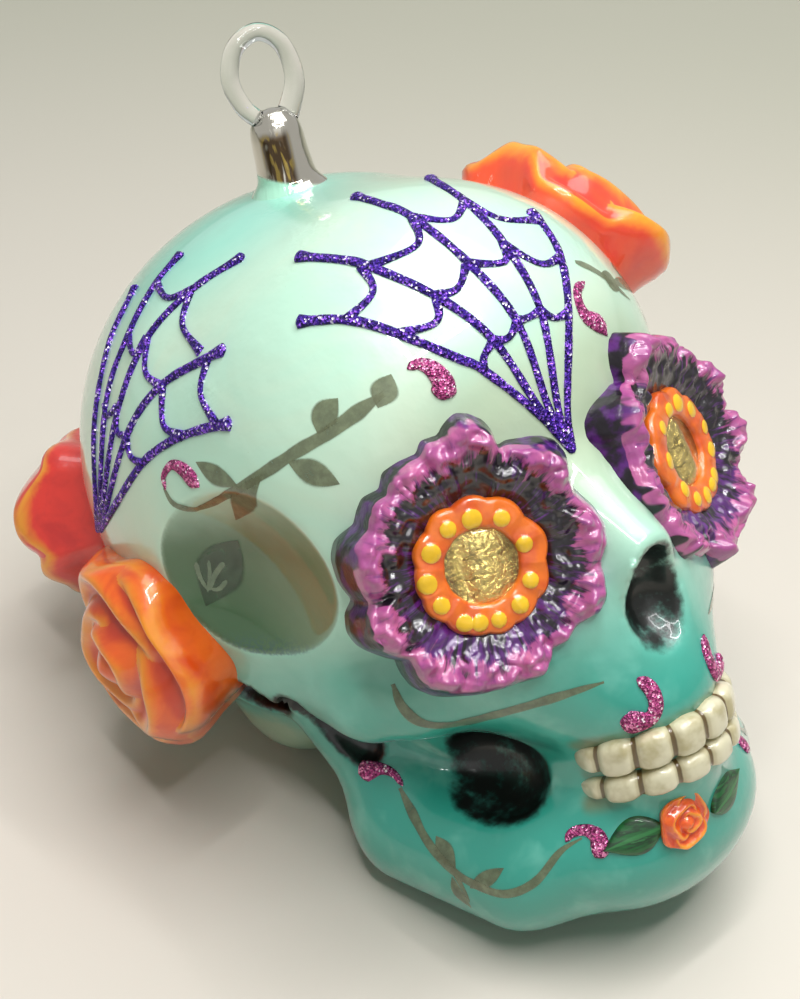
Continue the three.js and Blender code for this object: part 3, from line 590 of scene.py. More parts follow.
def hangerLoop():
    wide, turn = hanger["loopRadius"], math.radians(hanger["turn"])
    tall = wide + hanger["loopStretch"]
    level = crown + hanger["height"] + hanger["rise"]
    line = smoothLine([(a * wide * math.cos(turn), hanger["back"] + a * wide * math.sin(turn), level + b * tall)
                       for a, b in hanger["way"]], 0.35)
    share = np.linspace(0, 1, len(line))
    radii = hanger["stemRadius"] + (hanger["rodRadius"] - hanger["stemRadius"]) * np.clip(share * 3, 0, 1)
    sides = 24
    return tube(line, radii, sides), gridFaces(len(line), sides) + capFaces(len(line), sides)


neckPoints, neckFaces = hangerNeck()
addPiece("hangerNeck", neckPoints, neckFaces, silverMaterial(), ["hanger_neck"])
loopPoints, loopFaces = hangerLoop()
addPiece("hangerLoop", loopPoints, loopFaces, clearMaterial(), ["hanger_loop"])
print("hanger made")


# eye flowers, drawn on the right side and mirrored for the left

flower = {
    "place": (18.2, -39.4, 59.5), "splay": 24, "lift": 15, "drop": 9, "floor": -2.6,
    "profile": [(0, -1.0), (0.42, -1.0), (0.52, -0.9), (0.6, -0.62), (0.7, -0.3), (0.78, -0.06), (0.84, 0.12),
                (0.9, 0.14), (0.96, -0.02), (1.0, -0.5)],  # shares of the radius and of the floor's depth
    # the rim and the dots of the right flower, by pixel of the photograph
    "rim": [(473, 418), (487, 425), (497, 437), (502, 452), (510, 447), (527, 447), (547, 446), (560, 450), (570, 463),
            (572, 479), (579, 493), (593, 507), (607, 525), (610, 543), (606, 561), (609, 580), (609, 600), (603, 612),
            (593, 620), (579, 629), (570, 643), (556, 650), (554, 663), (547, 677), (527, 684), (500, 690), (473, 696),
            (447, 696), (430, 690), (420, 677), (414, 662), (400, 660), (380, 651), (370, 637), (367, 620), (373, 607),
            (360, 590), (354, 570), (357, 550), (371, 533), (372, 520), (376, 507), (390, 497), (392, 480), (406, 468),
            (423, 459), (427, 447), (443, 442), (450, 429), (460, 419)],
    "flare": 0.1, "low": -0.8, "lumpSize": 4.6,
    "wall": [(0.12, 0.08), (0.3, 0.2), (0.55, 0.36), (0.85, 0.65), (1.0, 1.0)],  # shares of the flare and the drop
    "dotSpots": [(499, 514), (471, 517), (447, 524), (428, 547), (420, 580), (437, 602), (461, 623), (478, 620),
                 (498, 616), (519, 599), (526, 573), (517, 541)],
    "pink": tone(166, 74, 140), "rose": tone(190, 94, 148), "purple": tone(84, 26, 110), "black": tone(14, 5, 18),
    "ringOuter": 8.1, "ringInner": 4.6, "ringHeight": 1.5, "ringCorners": 14, "dotRadius": 1.15,
    "ringSection": [(0.0, -0.3), (-0.02, 0.3), (0.02, 0.7), (0.14, 0.92), (0.5, 1.0), (0.86, 0.92), (0.98, 0.7),
                    (1.03, 0.3), (1.0, -0.3)],
    "orange": tone(234, 112, 16), "deepOrange": tone(214, 82, 12), "yellow": tone(240, 190, 20),
    "gold": tone(218, 196, 118), "shade": tone(104, 84, 34),
}


def waves(angle, counts, seed):  # an uneven ruffle round a flower
    draw = np.random.default_rng(seed)
    total = np.zeros_like(angle)
    for count in counts:
        total += np.sin(count * angle + draw.uniform(0, 6.28)) * draw.uniform(0.6, 1.0)
    return total / len(counts)


def rimRadius(angle, seat, seed):  # the rim of the photograph, a little changed on the other flower
    spots = onPlate(flower["rim"], seat, 0)
    turns = np.arctan2(spots[:, 1], spots[:, 0])
    order = np.argsort(turns)
    radii = np.hypot(spots[:, 0], spots[:, 1])[order]
    rim = np.interp(angle, turns[order], radii, period=2 * math.pi)
    soft = sum(np.roll(rim, step) for step in (-1, 0, 1)) / 3
    return soft + 0.2 * waves(angle, (7, 11, 17), seed)


def pillows(x, y, size, seed):  # round lumps with creases between them
    away = noise.voronoi((x / size, y / size, seed * 3.7))[0]
    return 1 - math.exp(-3.2 * (away[1] - away[0]))


def petalCup(seat, seed):
    columns = 360
    angle = roundTurn(columns)
    rim = rimRadius(angle, seat, seed)
    mean = sum(np.roll(rim, step) for step in range(-30, 31)) / 61
    dent = np.clip((mean - rim) / 1.2, -0.6, 1)  # 1 in a notch of the rim
    profile = smoothLine(flower["profile"], 0.018)
    depth = -flower["floor"]
    fold = waves(angle, (23, 29, 19), seed + 1)
    points, shares = [], []
    for out, up in profile:
        pleat = math.exp(-((out - 0.7) / 0.12) ** 2)
        swell = math.exp(-((out - 0.89) / 0.1) ** 2)
        x, y = out * rim * np.cos(angle), out * rim * np.sin(angle)
        if out > 0.5:
            lumps = np.array([pillows(a, b, flower["lumpSize"], seed) for a, b in zip(x, y)])
            bumps = np.array([noise.noise((a * 0.75, b * 0.75, seed)) for a, b in zip(x, y)])
        else:
            lumps = bumps = np.zeros(columns)
        height = up * depth + pleat * (0.22 * fold + 0.7 * bumps)
        height = height + swell * (1.3 * lumps + 0.8 * bumps - 1.2 * dent - 0.5)
        points.append(np.stack([x, y, height], -1))
        shares.append(out - 0.09 * dent + 0.06 * (lumps - 0.6) * swell + 0.08 * bumps)
    top = points[-1]
    for step, (out, down) in enumerate(flower["wall"]):
        wall = top * [1 + flower["flare"] * out, 1 + flower["flare"] * out, 1]
        wall[:, 2] = top[:, 2] * (1 - down) - flower["drop"] * down + 0.3 * fold * (1 - down)
        points.append(wall)
        shares.append(np.full(columns, 1.06 + 0.1 * step))
    faces = gridFaces(len(points) - 1, columns)
    flat = np.concatenate(points[1:])
    centre = np.array([[0, 0, points[0][0][2]], [0, 0, -flower["drop"]]])
    count, last = len(flat), len(flat) - columns
    faces += [[count, (c + 1) % columns, c] for c in range(columns)]
    faces += [[last + c, last + (c + 1) % columns, count + 1] for c in range(columns)]
    return np.vstack([flat, centre]), faces, np.concatenate([np.concatenate(shares[1:]), [0, 1.4]])


def petalMaterial():
    paint = Recipe("orchidEnamel")
    at = paint.place()
    x, y, z = paint.split(at)
    share = paint.attribute("share")
    length = (x * x + y * y).maths("SQRT") + 0.001
    turn = paint.join(x / length * 7, y / length * 7, share * 2.2)
    broad = paint.join(x / length * 2, y / length * 2, share * 1.5)
    bristle = paint.noise(turn, 2.6, 3, 0.6)
    patch = paint.noise(broad, 1.4, 2, 0.5)
    edge = share + (bristle - 0.5) * 0.36 + (patch - 0.5) * 0.26
    pink = paint.mix(paint.fade(paint.noise(at, 0.3, 3), 0.35, 0.65), flower["pink"], flower["rose"])
    violet = paint.mix(paint.fade(bristle * 0.5 + patch * 0.5 - y * 0.006, 0.5, 0.6), flower["black"], flower["purple"])
    colour = paint.mix(paint.fade(edge, 0.76, 0.83), violet, pink)
    streak = paint.fade(paint.noise(turn, 3.5, 2, 0.5), 0.56, 0.66) * paint.fade(edge, 0.97, 0.82)
    colour = paint.mix(streak * 0.55, colour, flower["purple"])
    side = paint.mix(paint.fade(paint.noise(at, 0.35, 3), 0.45, 0.65), flower["black"], flower["purple"])
    colour = paint.mix(paint.fade(share + (patch - 0.5) * 0.06, 1.0, 1.03), colour, side)
    thick = paint.noise(at, 0.5, 2, 0.5)
    gloss = 1 - 0.7 * paint.fade(share, 1.0, 1.06)
    return paint.finish(**{**enamel, "Coat_Weight": gloss}, Base_Color=colour, Normal=paint.bump(thick, 0.5, 0.45))


def ringMaterial():
    paint = Recipe("orangeEnamel")
    at = paint.place()
    dot = paint.attribute("dot")
    colour = paint.mix(paint.fade(paint.noise(at, 0.25, 3), 0.4, 0.62), flower["orange"], flower["deepOrange"])
    blob = dot + (paint.noise(at, 0.9) - 0.5) * 0.3
    colour = paint.mix(paint.fade(blob, 0.22, 0.34), colour, flower["yellow"])
    return paint.finish(**enamel, Base_Color=colour, Normal=paint.bump(paint.noise(at, 0.6), 0.4, 0.3))


def goldMaterial():
    paint = Recipe("crumpledGold")
    at = paint.place()
    crease = paint.noise(at, 1.6, 4, 0.6, 0.8)
    x, y, z = paint.split(at)
    # painted shade: patches of the gold darkened towards the shade colour
    paintedDarkPatches = paint.fade(paint.noise(at, 0.5, 3, 0.6, 0.8), 0.5, 0.66)
    colour = paint.mix(paintedDarkPatches * 0.6, flower["gold"], flower["shade"])
    # painted shade, darkening the disc towards its left and right sides
    rim = paint.fade(x.maths("ABSOLUTE") + (crease - 0.5), 2.6, 3.9)
    colour = paint.mix(rim * 0.7, colour, flower["shade"])
    return paint.finish(**{**enamel, "Roughness": 0.2}, Base_Color=colour, Metallic=1.0,
                        Normal=paint.bump(crease, 0.5, 0.7))


def ringGrid(seat, flip, seed):  # flat scalloped ring with blobs of thick enamel
    columns = 360
    turn = roundTurn(columns)
    inner, width = flower["ringInner"], flower["ringOuter"] - flower["ringInner"]
    spots = onPlate(flower["dotSpots"], seat, flower["floor"] + flower["ringHeight"]) * [flip, 1]
    spots *= ((inner + 0.52 * width) / np.hypot(spots[:, 0], spots[:, 1]))[:, None] * 0.5 + 0.5
    draw = np.random.default_rng(seed)
    sizes = flower["dotRadius"] * draw.uniform(0.85, 1.15, len(spots))
    turns = np.sort(np.arctan2(spots[:, 1], spots[:, 0]))
    nearest = np.abs((turn[:, None] - turns[None] + math.pi) % (2 * math.pi) - math.pi).min(1)
    scallop = 0.45 * np.cos(np.clip(nearest * 6, 0, math.pi)) + 0.15 * waves(turn, (5, 9), seed)
    section = smoothLine(flower["ringSection"], 0.045)
    points, dots = [], []
    corners = flower["ringCorners"]
    corner = np.round(turn * corners / (2 * math.pi)) * 2 * math.pi / corners
    plate = 0.35 * (1 / np.cos(turn - corner) - 1) / (1 / math.cos(math.pi / corners) - 1)
    for out, up in section:
        radius = inner + width * out + scallop * (0.2 + 0.8 * out)
        x, y = radius * np.cos(turn), radius * np.sin(turn)
        far = np.hypot(x[:, None] - spots[None, :, 0], y[:, None] - spots[None, :, 1]) / sizes[None]
        dome = np.sqrt(np.clip(1 - far.min(1) ** 2, 0, 1)) * (up > 0.6)
        lift = flower["ringHeight"] * up + 0.5 * plate * out * up
        lift = lift + 0.12 * waves(turn, (9, 14), seed + 1) * up + 0.32 * dome
        points.append(np.stack([x, y + flower["low"], flower["floor"] + lift], -1))
        dots.append(dome)
    return np.concatenate(points), gridFaces(len(section), columns, wrapRows=True), np.concatenate(dots)


def mirrorDisc(seed):  # a crumpled disc with one fold
    columns, rows = 96, 30
    turn = roundTurn(columns)
    radius = flower["ringInner"] + 0.15
    points = []
    for row in range(rows):
        out = (row + 0.5) / rows
        x, y = radius * out * np.cos(turn), radius * out * np.sin(turn)
        fold = 0.55 * np.exp(-((x - 0.6 - 0.1 * y) / 2.0) ** 2) - 0.3 * np.exp(-((x + 2.4) / 0.7) ** 2)
        crumple = np.array([noise.noise((a * 0.5, b * 0.5, seed)) for a, b in zip(x, y)]) * 0.16
        level = flower["floor"] + 0.8 - 0.25 * out + (fold + crumple) * (1 - out ** 6)
        points.append(np.stack([x, y + flower["low"], level], -1))
    return np.concatenate(points), gridFaces(rows, columns) + [list(range(columns))]


eyeOutward = bearing(flower["splay"], flower["lift"])
seats = {sign: frameMatrix(np.array(flower["place"]) * [sign, 1, 1], eyeOutward * [sign, 1, 1]) for sign in (1, -1)}
petalPaint, ringPaint, goldPaint = petalMaterial(), ringMaterial(), goldMaterial()
for side, sign, seed in (("left", 1, 3), ("right", -1, 8)):
    seat = seats[sign]
    cup, cupFaces, shares = petalCup(seats[-1], seed)
    cup[:, 0] *= -sign
    addPiece(side + "EyePetals", cup, cupFaces, petalPaint, [side + "_eye_petals"],
             {"share": shares}, seat)
    ring, ringFaces, dots = ringGrid(seats[-1], -sign, seed)
    addPiece(side + "EyeRing", ring, ringFaces, ringPaint, [side + "_eye_ring"], {"dot": dots}, seat)
    disc, discFaces = mirrorDisc(seed)
    addPiece(side + "EyeMirror", disc, discFaces, goldPaint, [side + "_eye_mirror"], None, seat)
print("eye flowers made")


# roses: petals round a bud, each cupped up to its lip

rosePaint = {
    "orange": tone(244, 104, 16), "amber": tone(248, 156, 22), "deep": tone(214, 52, 8),
    "red": tone(232, 52, 40), "crimson": tone(190, 24, 28), "yellow": tone(248, 172, 24),
    "coral": tone(246, 82, 42),
}
# the hollow colour darkens the folds between the petals as painted shade, and also mottles the petals at random
roses = [
    {"name": "earRose", "node": "right_ear_rose", "slot": "rose_orange", "place": (-124, 9.5), "facing": (-94, 0),
     "radius": 15.5, "height": 11, "root": 8, "petals": 6, "fat": 1.9, "edge": 1.2,
     "spin": 40, "seed": 4, "main": "orange", "lip": "amber", "hollow": "deep"},
    {"name": "rearRose", "node": "right_rear_rose", "slot": "rose_red", "place": (-155, 15), "facing": (-146, -6),
     "radius": 13.8, "height": 14.5, "root": 5, "petals": 7, "fat": 1.5, "edge": 1.2,
     "spin": 200, "seed": 9, "main": "red", "lip": "yellow", "hollow": "crimson"},
    {"name": "templeRose", "node": "left_temple_rose", "slot": "rose_orange", "place": (104, 53), "facing": (84, 40),
     "radius": 16.6, "height": 10.4, "root": 5, "petals": 8, "fat": 1.4, "edge": 1.4,
     "spin": 120, "seed": 14, "main": "coral", "lip": "yellow", "hollow": "red"},
    {"name": "chinRose", "node": "chin_rose", "slot": "rose_orange", "place": (-6, -26), "facing": (-6, 5),
     "radius": 4, "height": 1.8, "root": 1.5, "petals": 4, "fat": 2.0, "edge": 1,
     "spin": 0, "seed": 2, "main": "orange", "lip": "amber", "hollow": "deep"},
]
roseScale = 16  # radius of the rose that the folds are drawn on
# shares of the way down the wall and of the rose's outline
roseWall = ((0.04, 1.02), (0.12, 1.025), (0.3, 0.98), (0.55, 0.9), (0.8, 0.84), (1.0, 0.76))


def roseSurface(spec):  # heights over a disc, with a wall down into the glass
    draw = np.random.default_rng(spec["seed"])
    columns, rows = 220, 90
    radius, height, fat = spec["radius"], spec["height"], spec["fat"]
    size = radius / roseScale
    turn = roundTurn(columns)
    outline = radius * (0.93 + 0.05 * np.cos(5 * turn + 1) + 0.02 * waves(turn, (7, 9), spec["seed"]))
    reach = np.linspace(0, 1, rows)[:, None] * outline[None]
    angle = np.repeat(turn[None], rows, 0)
    best = np.full(reach.shape, -1e3)
    lipNear = np.full(reach.shape, 1e3)
    for i in range(spec["petals"]):
        share = ((i + 0.8) / spec["petals"]) ** 0.62
        middle = math.radians(spec["spin"] + 137.5 * i)
        width = math.radians(draw.uniform(62, 82)) * (1.5 if i < 2 else 1)
        off = (angle - middle + math.pi) % (2 * math.pi) - math.pi
        bend = np.clip(np.abs(off) / width, 0, 1.6)
        wave = 0.09 * np.sin(off * 4 + draw.uniform(0, 6))
        lip = radius * share * (1 - 0.3 * bend ** 2 + wave)
        top = height * (1.02 - 0.42 * share ** 1.5) - size * 2.2 * bend ** 2
        away = (reach - lip) / size
        within = np.clip(-away, 0, None)
        inside = top - size * (1.5 * (1 - np.exp(-within / (1.3 * fat))) + 0.22 * within)
        outside = top - size * (0.35 * (away / fat) ** 2 + 0.9 * np.clip(away - 0.5 * fat, 0, None))
        petal = np.where(away < 0, inside, outside) + size * 0.5 * np.exp(-(away / fat) ** 2)
        nearer = petal > best
        lipNear = np.where(nearer, np.abs(away) + 2.5 * np.clip(bend - 0.9, 0, None), lipNear)
        gap = np.abs(petal - best)
        best = np.maximum(petal, best) + 0.12 * size * np.exp(-gap / (0.35 * size * fat))
    bud = height * 1.02 - 0.3 * size * (reach / size) ** 1.6
    best = np.maximum(np.maximum(best, bud), height * 0.35)
    points = [np.stack([reach * np.cos(angle), reach * np.sin(angle), best], -1)]
    lips = [lipNear]
    wobble = 1 + 0.03 * np.cos(5 * turn + 2)
    for down, inset in roseWall:
        level = best[-1] * (1 - down) - spec["root"] * down
        out = outline * (1 + (inset - 1) * wobble)
        points.append(np.stack([out * np.cos(turn), out * np.sin(turn), level], -1)[None])
        lips.append(np.full((1, columns), 0.4 + 8 * down))
    surface = np.concatenate(points)
    smooth = surface[:, :, 2]
    for _ in range(int(3 * fat)):
        smooth[1:-1] = (smooth[:-2] + 2 * smooth[1:-1] + smooth[2:]) / 4
        smooth[:] = (np.roll(smooth, 1, 1) + 2 * smooth + np.roll(smooth, -1, 1)) / 4
    broad = smooth.copy()
    for _ in range(60):
        broad[1:-1] = (broad[:-2] + broad[1:-1] + broad[2:]) / 3
        broad = (np.roll(broad, 2, 1) + broad + np.roll(broad, -2, 1)) / 3
    hollow = np.clip((broad - smooth) / size, -1, 2)  # 1 deep between the petals
    hollow[rows:] = 0
    faces = gridFaces(len(surface), columns) + capFaces(len(surface), columns)[1:]
    return surface.reshape(-1, 3), faces, {"lip": np.concatenate(lips).ravel(), "hollow": hollow.ravel()}


def roseMaterial(spec):
    paint = Recipe(spec["name"] + "Enamel")
    at = paint.place()
    scale = roseScale / spec["radius"]
    lip, hollow = paint.attribute("lip"), paint.attribute("hollow")
    cloud = paint.noise(at, 0.16 * scale, 3, 0.55, 0.5)
    colour = paint.mix(paint.fade(cloud, 0.4, 0.7) * 0.6, rosePaint[spec["main"]], rosePaint[spec["hollow"]])
    # painted shade: the colour deepens in the folds between the petals
    colour = paint.mix(paint.fade(hollow, 0.0, 0.7) * 0.8, colour, rosePaint[spec["hollow"]])
    rimmed = 1 - paint.fade(lip + (cloud - 0.5) * 2.4, 0.2 * spec["edge"], 1.5 * spec["edge"])
    colour = paint.mix(rimmed * 0.85, colour, rosePaint[spec["lip"]])
    return paint.finish(**{**enamel, "Coat_Roughness": 0.04}, Base_Color=colour, Subsurface_Weight=0.25,
                        Subsurface_Radius=(1.0, 0.35, 0.12), Subsurface_Scale=0.002,
                        Normal=paint.bump(paint.noise(at, 0.3 * scale, 3), 0.5, 0.3))


for spec in roses:
    foot = onGlass(bearing(*spec["place"])[None])[0]
    points, faces, attributes = roseSurface(spec)
    addPiece(spec["name"], points, faces, roseMaterial(spec), [spec["node"]], attributes,
             frameMatrix(foot, bearing(*spec["facing"])))
print("roses made")


# teeth and the skull behind them

teeth = {
    "middle": (0, -38.6, 27.8), "halfWidth": 13, "depth": 14.7, "rise": 3, "proud": 1.3, "backset": 4.5,
    "upper": 4.8, "lower": 3.6, "parting": 0.3, "count": 8, "gumInset": 0.8, "gumReach": 26,
    "ivory": tone(222, 214, 184), "shade": tone(186, 174, 132), "stain": tone(96, 74, 34),
}


def toothRow(bottom, height):  # a bent rod, pinched between the teeth
    columns, rows = 40, teeth["count"] * 24
    thick = (teeth["proud"] + teeth["backset"]) / 2
    share = np.linspace(0, 1, rows + 1)
    turn = -math.pi / 2 + math.pi * share
    crease = np.abs(np.cos(math.pi * teeth["count"] * share))
    end = np.clip(np.minimum(share, 1 - share) * 7, 0, 1) ** 0.5
    points, grooves = [], []
    for angle in roundTurn(columns):
        across, up = math.cos(angle), math.sin(angle)
        face = math.copysign(abs(across) ** 0.5, across) * thick * (1 - 0.26 * crease ** 9) * end
        edge = math.copysign(abs(up) ** 0.55, up) * height / 2 * (1 - 0.1 * crease ** 6)
        lip = 0.25 * (1 - crease) * up
        points.append(np.stack([np.sin(turn) * (teeth["halfWidth"] - thick + face),
                                teeth["middle"][1] - np.cos(turn) * (teeth["depth"] - thick + face),
                                teeth["middle"][2] + bottom + height / 2 + (edge + lip) * end
                                - teeth["rise"] * (1 - np.cos(turn))], -1))
        grooves.append(np.maximum(crease, abs(up) ** 3 * 0.985))
    faces = gridFaces(rows + 1, columns) + capFaces(rows + 1, columns)
    return np.stack(points, 1).reshape(-1, 3), faces, np.stack(grooves, 1).ravel()


def toothMaterial():
    paint = Recipe("ivoryEnamel")
    at = paint.place()
    groove = paint.attribute("groove")
    wear = paint.noise(at, 0.3, 3, 0.5)
    edge = groove + (wear - 0.5) * 0.04
    colour = paint.mix(paint.fade(wear, 0.4, 0.7), teeth["ivory"], teeth["shade"])
    # painted shade: darker towards the grooves and the top and bottom edges of the rows
    colour = paint.mix(paint.fade(edge, 0.88, 0.96) * 0.6, colour, teeth["shade"])
    colour = paint.mix(paint.fade(edge, 0.965, 0.99), colour, teeth["stain"])
    return paint.finish(**enamel, Base_Color=colour, Normal=paint.bump(wear, 0.3, 0.3))


def gumDistance():  # from the skull's points to the edges of both rows
    turn = np.linspace(-1.35, 1.35, 90)
    edges = [np.stack([np.sin(turn) * (teeth["halfWidth"] - teeth["gumInset"]),
                       teeth["middle"][1] - np.cos(turn) * (teeth["depth"] - teeth["gumInset"]),
                       teeth["middle"][2] + up - teeth["rise"] * (1 - np.cos(turn))], -1)
             for up in (teeth["upper"], -teeth["lower"], 0)]
    edges = np.concatenate(edges)
    near = np.full(len(headPoints), 50.0)
    close = np.linalg.norm(headPoints - [0, -42, 28], axis=1) < teeth["gumReach"]
    near[close] = np.linalg.norm(headPoints[close][:, None] - edges[None], axis=2).min(1)
    return near


addPiece("skullGlass", headPoints, headFaces, skullMaterial(), ["skull_shell"],
         {**paintedHollows(), "gum": gumDistance()})
print("skull glass made:", len(headPoints), "points")
toothPaint = toothMaterial()
for name, node, bottom, height in (
        ("upperTeeth", "upper_teeth", teeth["parting"] / 2, teeth["upper"]),
        ("lowerTeeth", "lower_teeth", -teeth["parting"] / 2 - teeth["lower"], teeth["lower"])):
    points, faces, grooves = toothRow(bottom, height)
    addPiece(name, points, faces, toothPaint, [node], {"groove": grooves})
print("teeth made")


# strokes laid on the glass

strokeColumns, leafColumns = 7, 13  # points across a stroke and across a raised leaf


def ribbon(line, halfWidths, lift, columns, rise=0.0):  # a flat or raised stroke along a line on the glass
    across = np.cross(glassNormal(line), np.gradient(line, axis=0))
    across /= np.linalg.norm(across, axis=1, keepdims=True)
    offsets = np.linspace(-1, 1, columns)
    spread = line[:, None] + across[:, None] * offsets[None, :, None] * np.asarray(halfWidths)[:, None, None]
    lifts = lift + rise * np.sqrt(np.clip(1 - offsets ** 2, 0, 1))[None] * np.ones(len(line))[:, None]
    points = laid(spread.reshape(-1, 3), lifts.ravel())
    return points, np.tile(np.abs(offsets), len(line))


def leafWidths(count, halfWidth, fullness=0.8):  # pointed at both ends
    share = np.linspace(0, 1, count)
    return np.sin(math.pi * share ** fullness) * halfWidth + 0.02


chinLeaves = {
    "places": (("chinLeafRight", "chin_leaf_right", (-16.3, -27.2), 190),
               ("chinLeafLeft", "chin_leaf_left", (6.5, -26.5), 10)),  # bearing from the heart, then heading
    "length": 8.3, "halfWidth": 2.6, "rise": 0.9, "lift": -0.1,
    "green": tone(8, 92, 38), "light": tone(44, 124, 62), "dark": tone(3, 50, 20),
}


def leafMaterial():
    paint = Recipe("leafEnamel")
    x, y, z = paint.split(paint.place())
    across = paint.attribute("across")
    streak = paint.noise(paint.join(x * 0.5, y * 0.5, z * 2.2), 0.7, 3)
    colour = paint.mix(paint.fade(streak, 0.4, 0.6), chinLeaves["green"], chinLeaves["dark"])
    colour = paint.mix(paint.fade(across, 0.16, 0.06) * 0.7, colour, chinLeaves["light"])
    colour = paint.mix(paint.fade(streak, 0.62, 0.68) * 0.6, colour, chinLeaves["light"])
    return paint.finish(Base_Color=colour, Roughness=0.45, Coat_Weight=0.4, Coat_Roughness=0.05,
                        Normal=paint.bump(streak, 0.4, 0.3))


leafPaint = leafMaterial()
for name, node, place, heading in chinLeaves["places"]:
    root = onGlass(bearing(*place)[None])[0]
    seat = np.array(frameMatrix(root, glassNormal(root[None])[0]))
    way = seat[:3, 0] * math.cos(math.radians(heading)) + seat[:3, 1] * math.sin(math.radians(heading))
    line = laid(root + np.linspace(-0.5, 0.5, 28)[:, None] * chinLeaves["length"] * way)
    widths = leafWidths(len(line), chinLeaves["halfWidth"])
    points, across = ribbon(line, widths, chinLeaves["lift"], leafColumns, chinLeaves["rise"])
    faces = gridFaces(len(line), leafColumns, wrapColumns=False)
    addPiece(name, points, faces, leafPaint, [node], {"across": across})
print("chin leaves made")


# painted vines: lines by pixel of the photograph, then half the width in millimetres at each end

vines = {
    "strokes": [
        ([(384, 394), (366, 406), (330, 432), (296, 452), (262, 474), (232, 492), (200, 508), (178, 504)], 1.1, 0.55),
        ([(393, 684), (402, 706), (420, 722), (448, 725), (490, 716), (540, 702), (604, 682)], 0.95, 0.75),
        ([(400, 788), (412, 812), (428, 842), (450, 868), (474, 884), (505, 894), (535, 882), (560, 852),
          (582, 838)], 0.8, 0.6),
        ([(452, 868), (462, 886), (470, 902)], 0.6, 0.3),
        ([(164, 488), (173, 503), (190, 510), (205, 505), (224, 494)], 0.5, 0.35),
    ],
    "leftStrokes": [([(575, 262), (590, 268), (608, 280), (630, 300)], 0.7, 0.4)],
    "leaves": [
        ([(378, 408), (384, 392), (391, 374)], 1.9), ([(318, 434), (324, 416), (338, 398)], 1.9),
        ([(288, 462), (312, 472), (340, 484)], 1.8), ([(262, 474), (246, 496), (236, 520)], 2.0),
        ([(238, 486), (214, 474), (196, 462)], 1.5), ([(436, 836), (444, 850), (456, 868)], 1.5),
        ([(470, 888), (488, 878), (504, 868)], 1.2), ([(452, 876), (458, 892), (472, 908)], 1.1),
    ],
    "olive": tone(98, 102, 72), "pale": tone(132, 140, 106),
    "earLeaf": [([(238, 540), (222, 566), (206, 606)], 3.6)],
    "earVeins": [
        ([(196, 562), (200, 576), (208, 590)], 0.45, 0.3), ([(224, 562), (215, 575), (210, 590)], 0.5, 0.35),
        ([(227, 580), (219, 589), (210, 588)], 0.45, 0.3), ([(209, 560), (210, 575), (208, 592)], 0.3, 0.3),
    ],
    "veinDark": tone(112, 134, 108), "veinLight": tone(142, 160, 132),
    "darkLeaf": tone(34, 62, 40), "leafLight": tone(70, 104, 74),
    "lift": 0.06, "veinLift": 0.12,
}


def vineMaterial(name, dark, light):
    paint = Recipe(name)
    at = paint.place()
    across = paint.attribute("across")
    streak = paint.noise(at, 0.6, 4, 0.65)
    colour = paint.mix(paint.fade(streak, 0.3, 0.8), dark, light)
    cover = (1 - paint.fade(across + (streak - 0.5) * 0.2, 0.75, 1.0)) * (0.66 + 0.2 * streak)
    return paint.finish(**enamel, Base_Color=colour, Alpha=cover)


def strokeMesh(items, lift, flipped):  # several strokes as one mesh
    points, faces, across, start = [], [], [], 0
    for line, widths in items:
        made, edge = ribbon(line * [-1 if flipped else 1, 1, 1], widths, lift, strokeColumns)
        points.append(made)
        across.append(edge)
        faces += gridFaces(len(line), strokeColumns, wrapColumns=False, start=start)
        start += len(made)
    return np.concatenate(points), faces, np.concatenate(across)


def vineItems(strokes, leaves):
    items = []
    for pixels, wide, thin in strokes:
        line = smoothLine(fromPhoto(smoothLine(pixels, 5)), 0.5)
        share = np.linspace(0, 1, len(line))
        taper = np.clip(share * 9, 0.15, 1) ** 0.5 * np.clip((1 - share) * 6, 0.1, 1) ** 0.6
        wander = 1 + 0.15 * waves(share * 6.28, (3, 5, 8), len(line))
        items.append((line, np.linspace(wide, thin, len(line)) * taper * wander))
    for pixels, halfWidth in leaves:
        line = smoothLine(fromPhoto(smoothLine(pixels, 4)), 0.35)
        items.append((line, leafWidths(len(line), halfWidth, 1.0)))
    return items


veinPaint = vineMaterial("veinGlaze", vines["veinDark"], vines["veinLight"])
vinePaint = vineMaterial("oliveGlaze", vines["olive"], vines["pale"])
leafGlaze = vineMaterial("darkGlaze", vines["darkLeaf"], vines["leafLight"])
bothSides = vineItems(vines["strokes"], vines["leaves"])
for name, items, paint, lift, flipped in (
        ("rightVines", bothSides, vinePaint, vines["lift"], False),
        ("leftVines", bothSides, vinePaint, vines["lift"], True),
        ("browVine", vineItems(vines["leftStrokes"], []), vinePaint, vines["lift"], False),
        ("earLeaf", vineItems([], vines["earLeaf"]), leafGlaze, vines["lift"], False),
        ("earVeins", vineItems(vines["earVeins"], []), veinPaint, vines["veinLift"], False)):
    points, faces, across = strokeMesh(items, lift, flipped)
    addPiece(name, points, faces, paint, (), {"across": across})
print("vines painted")


# glitter webs and curls

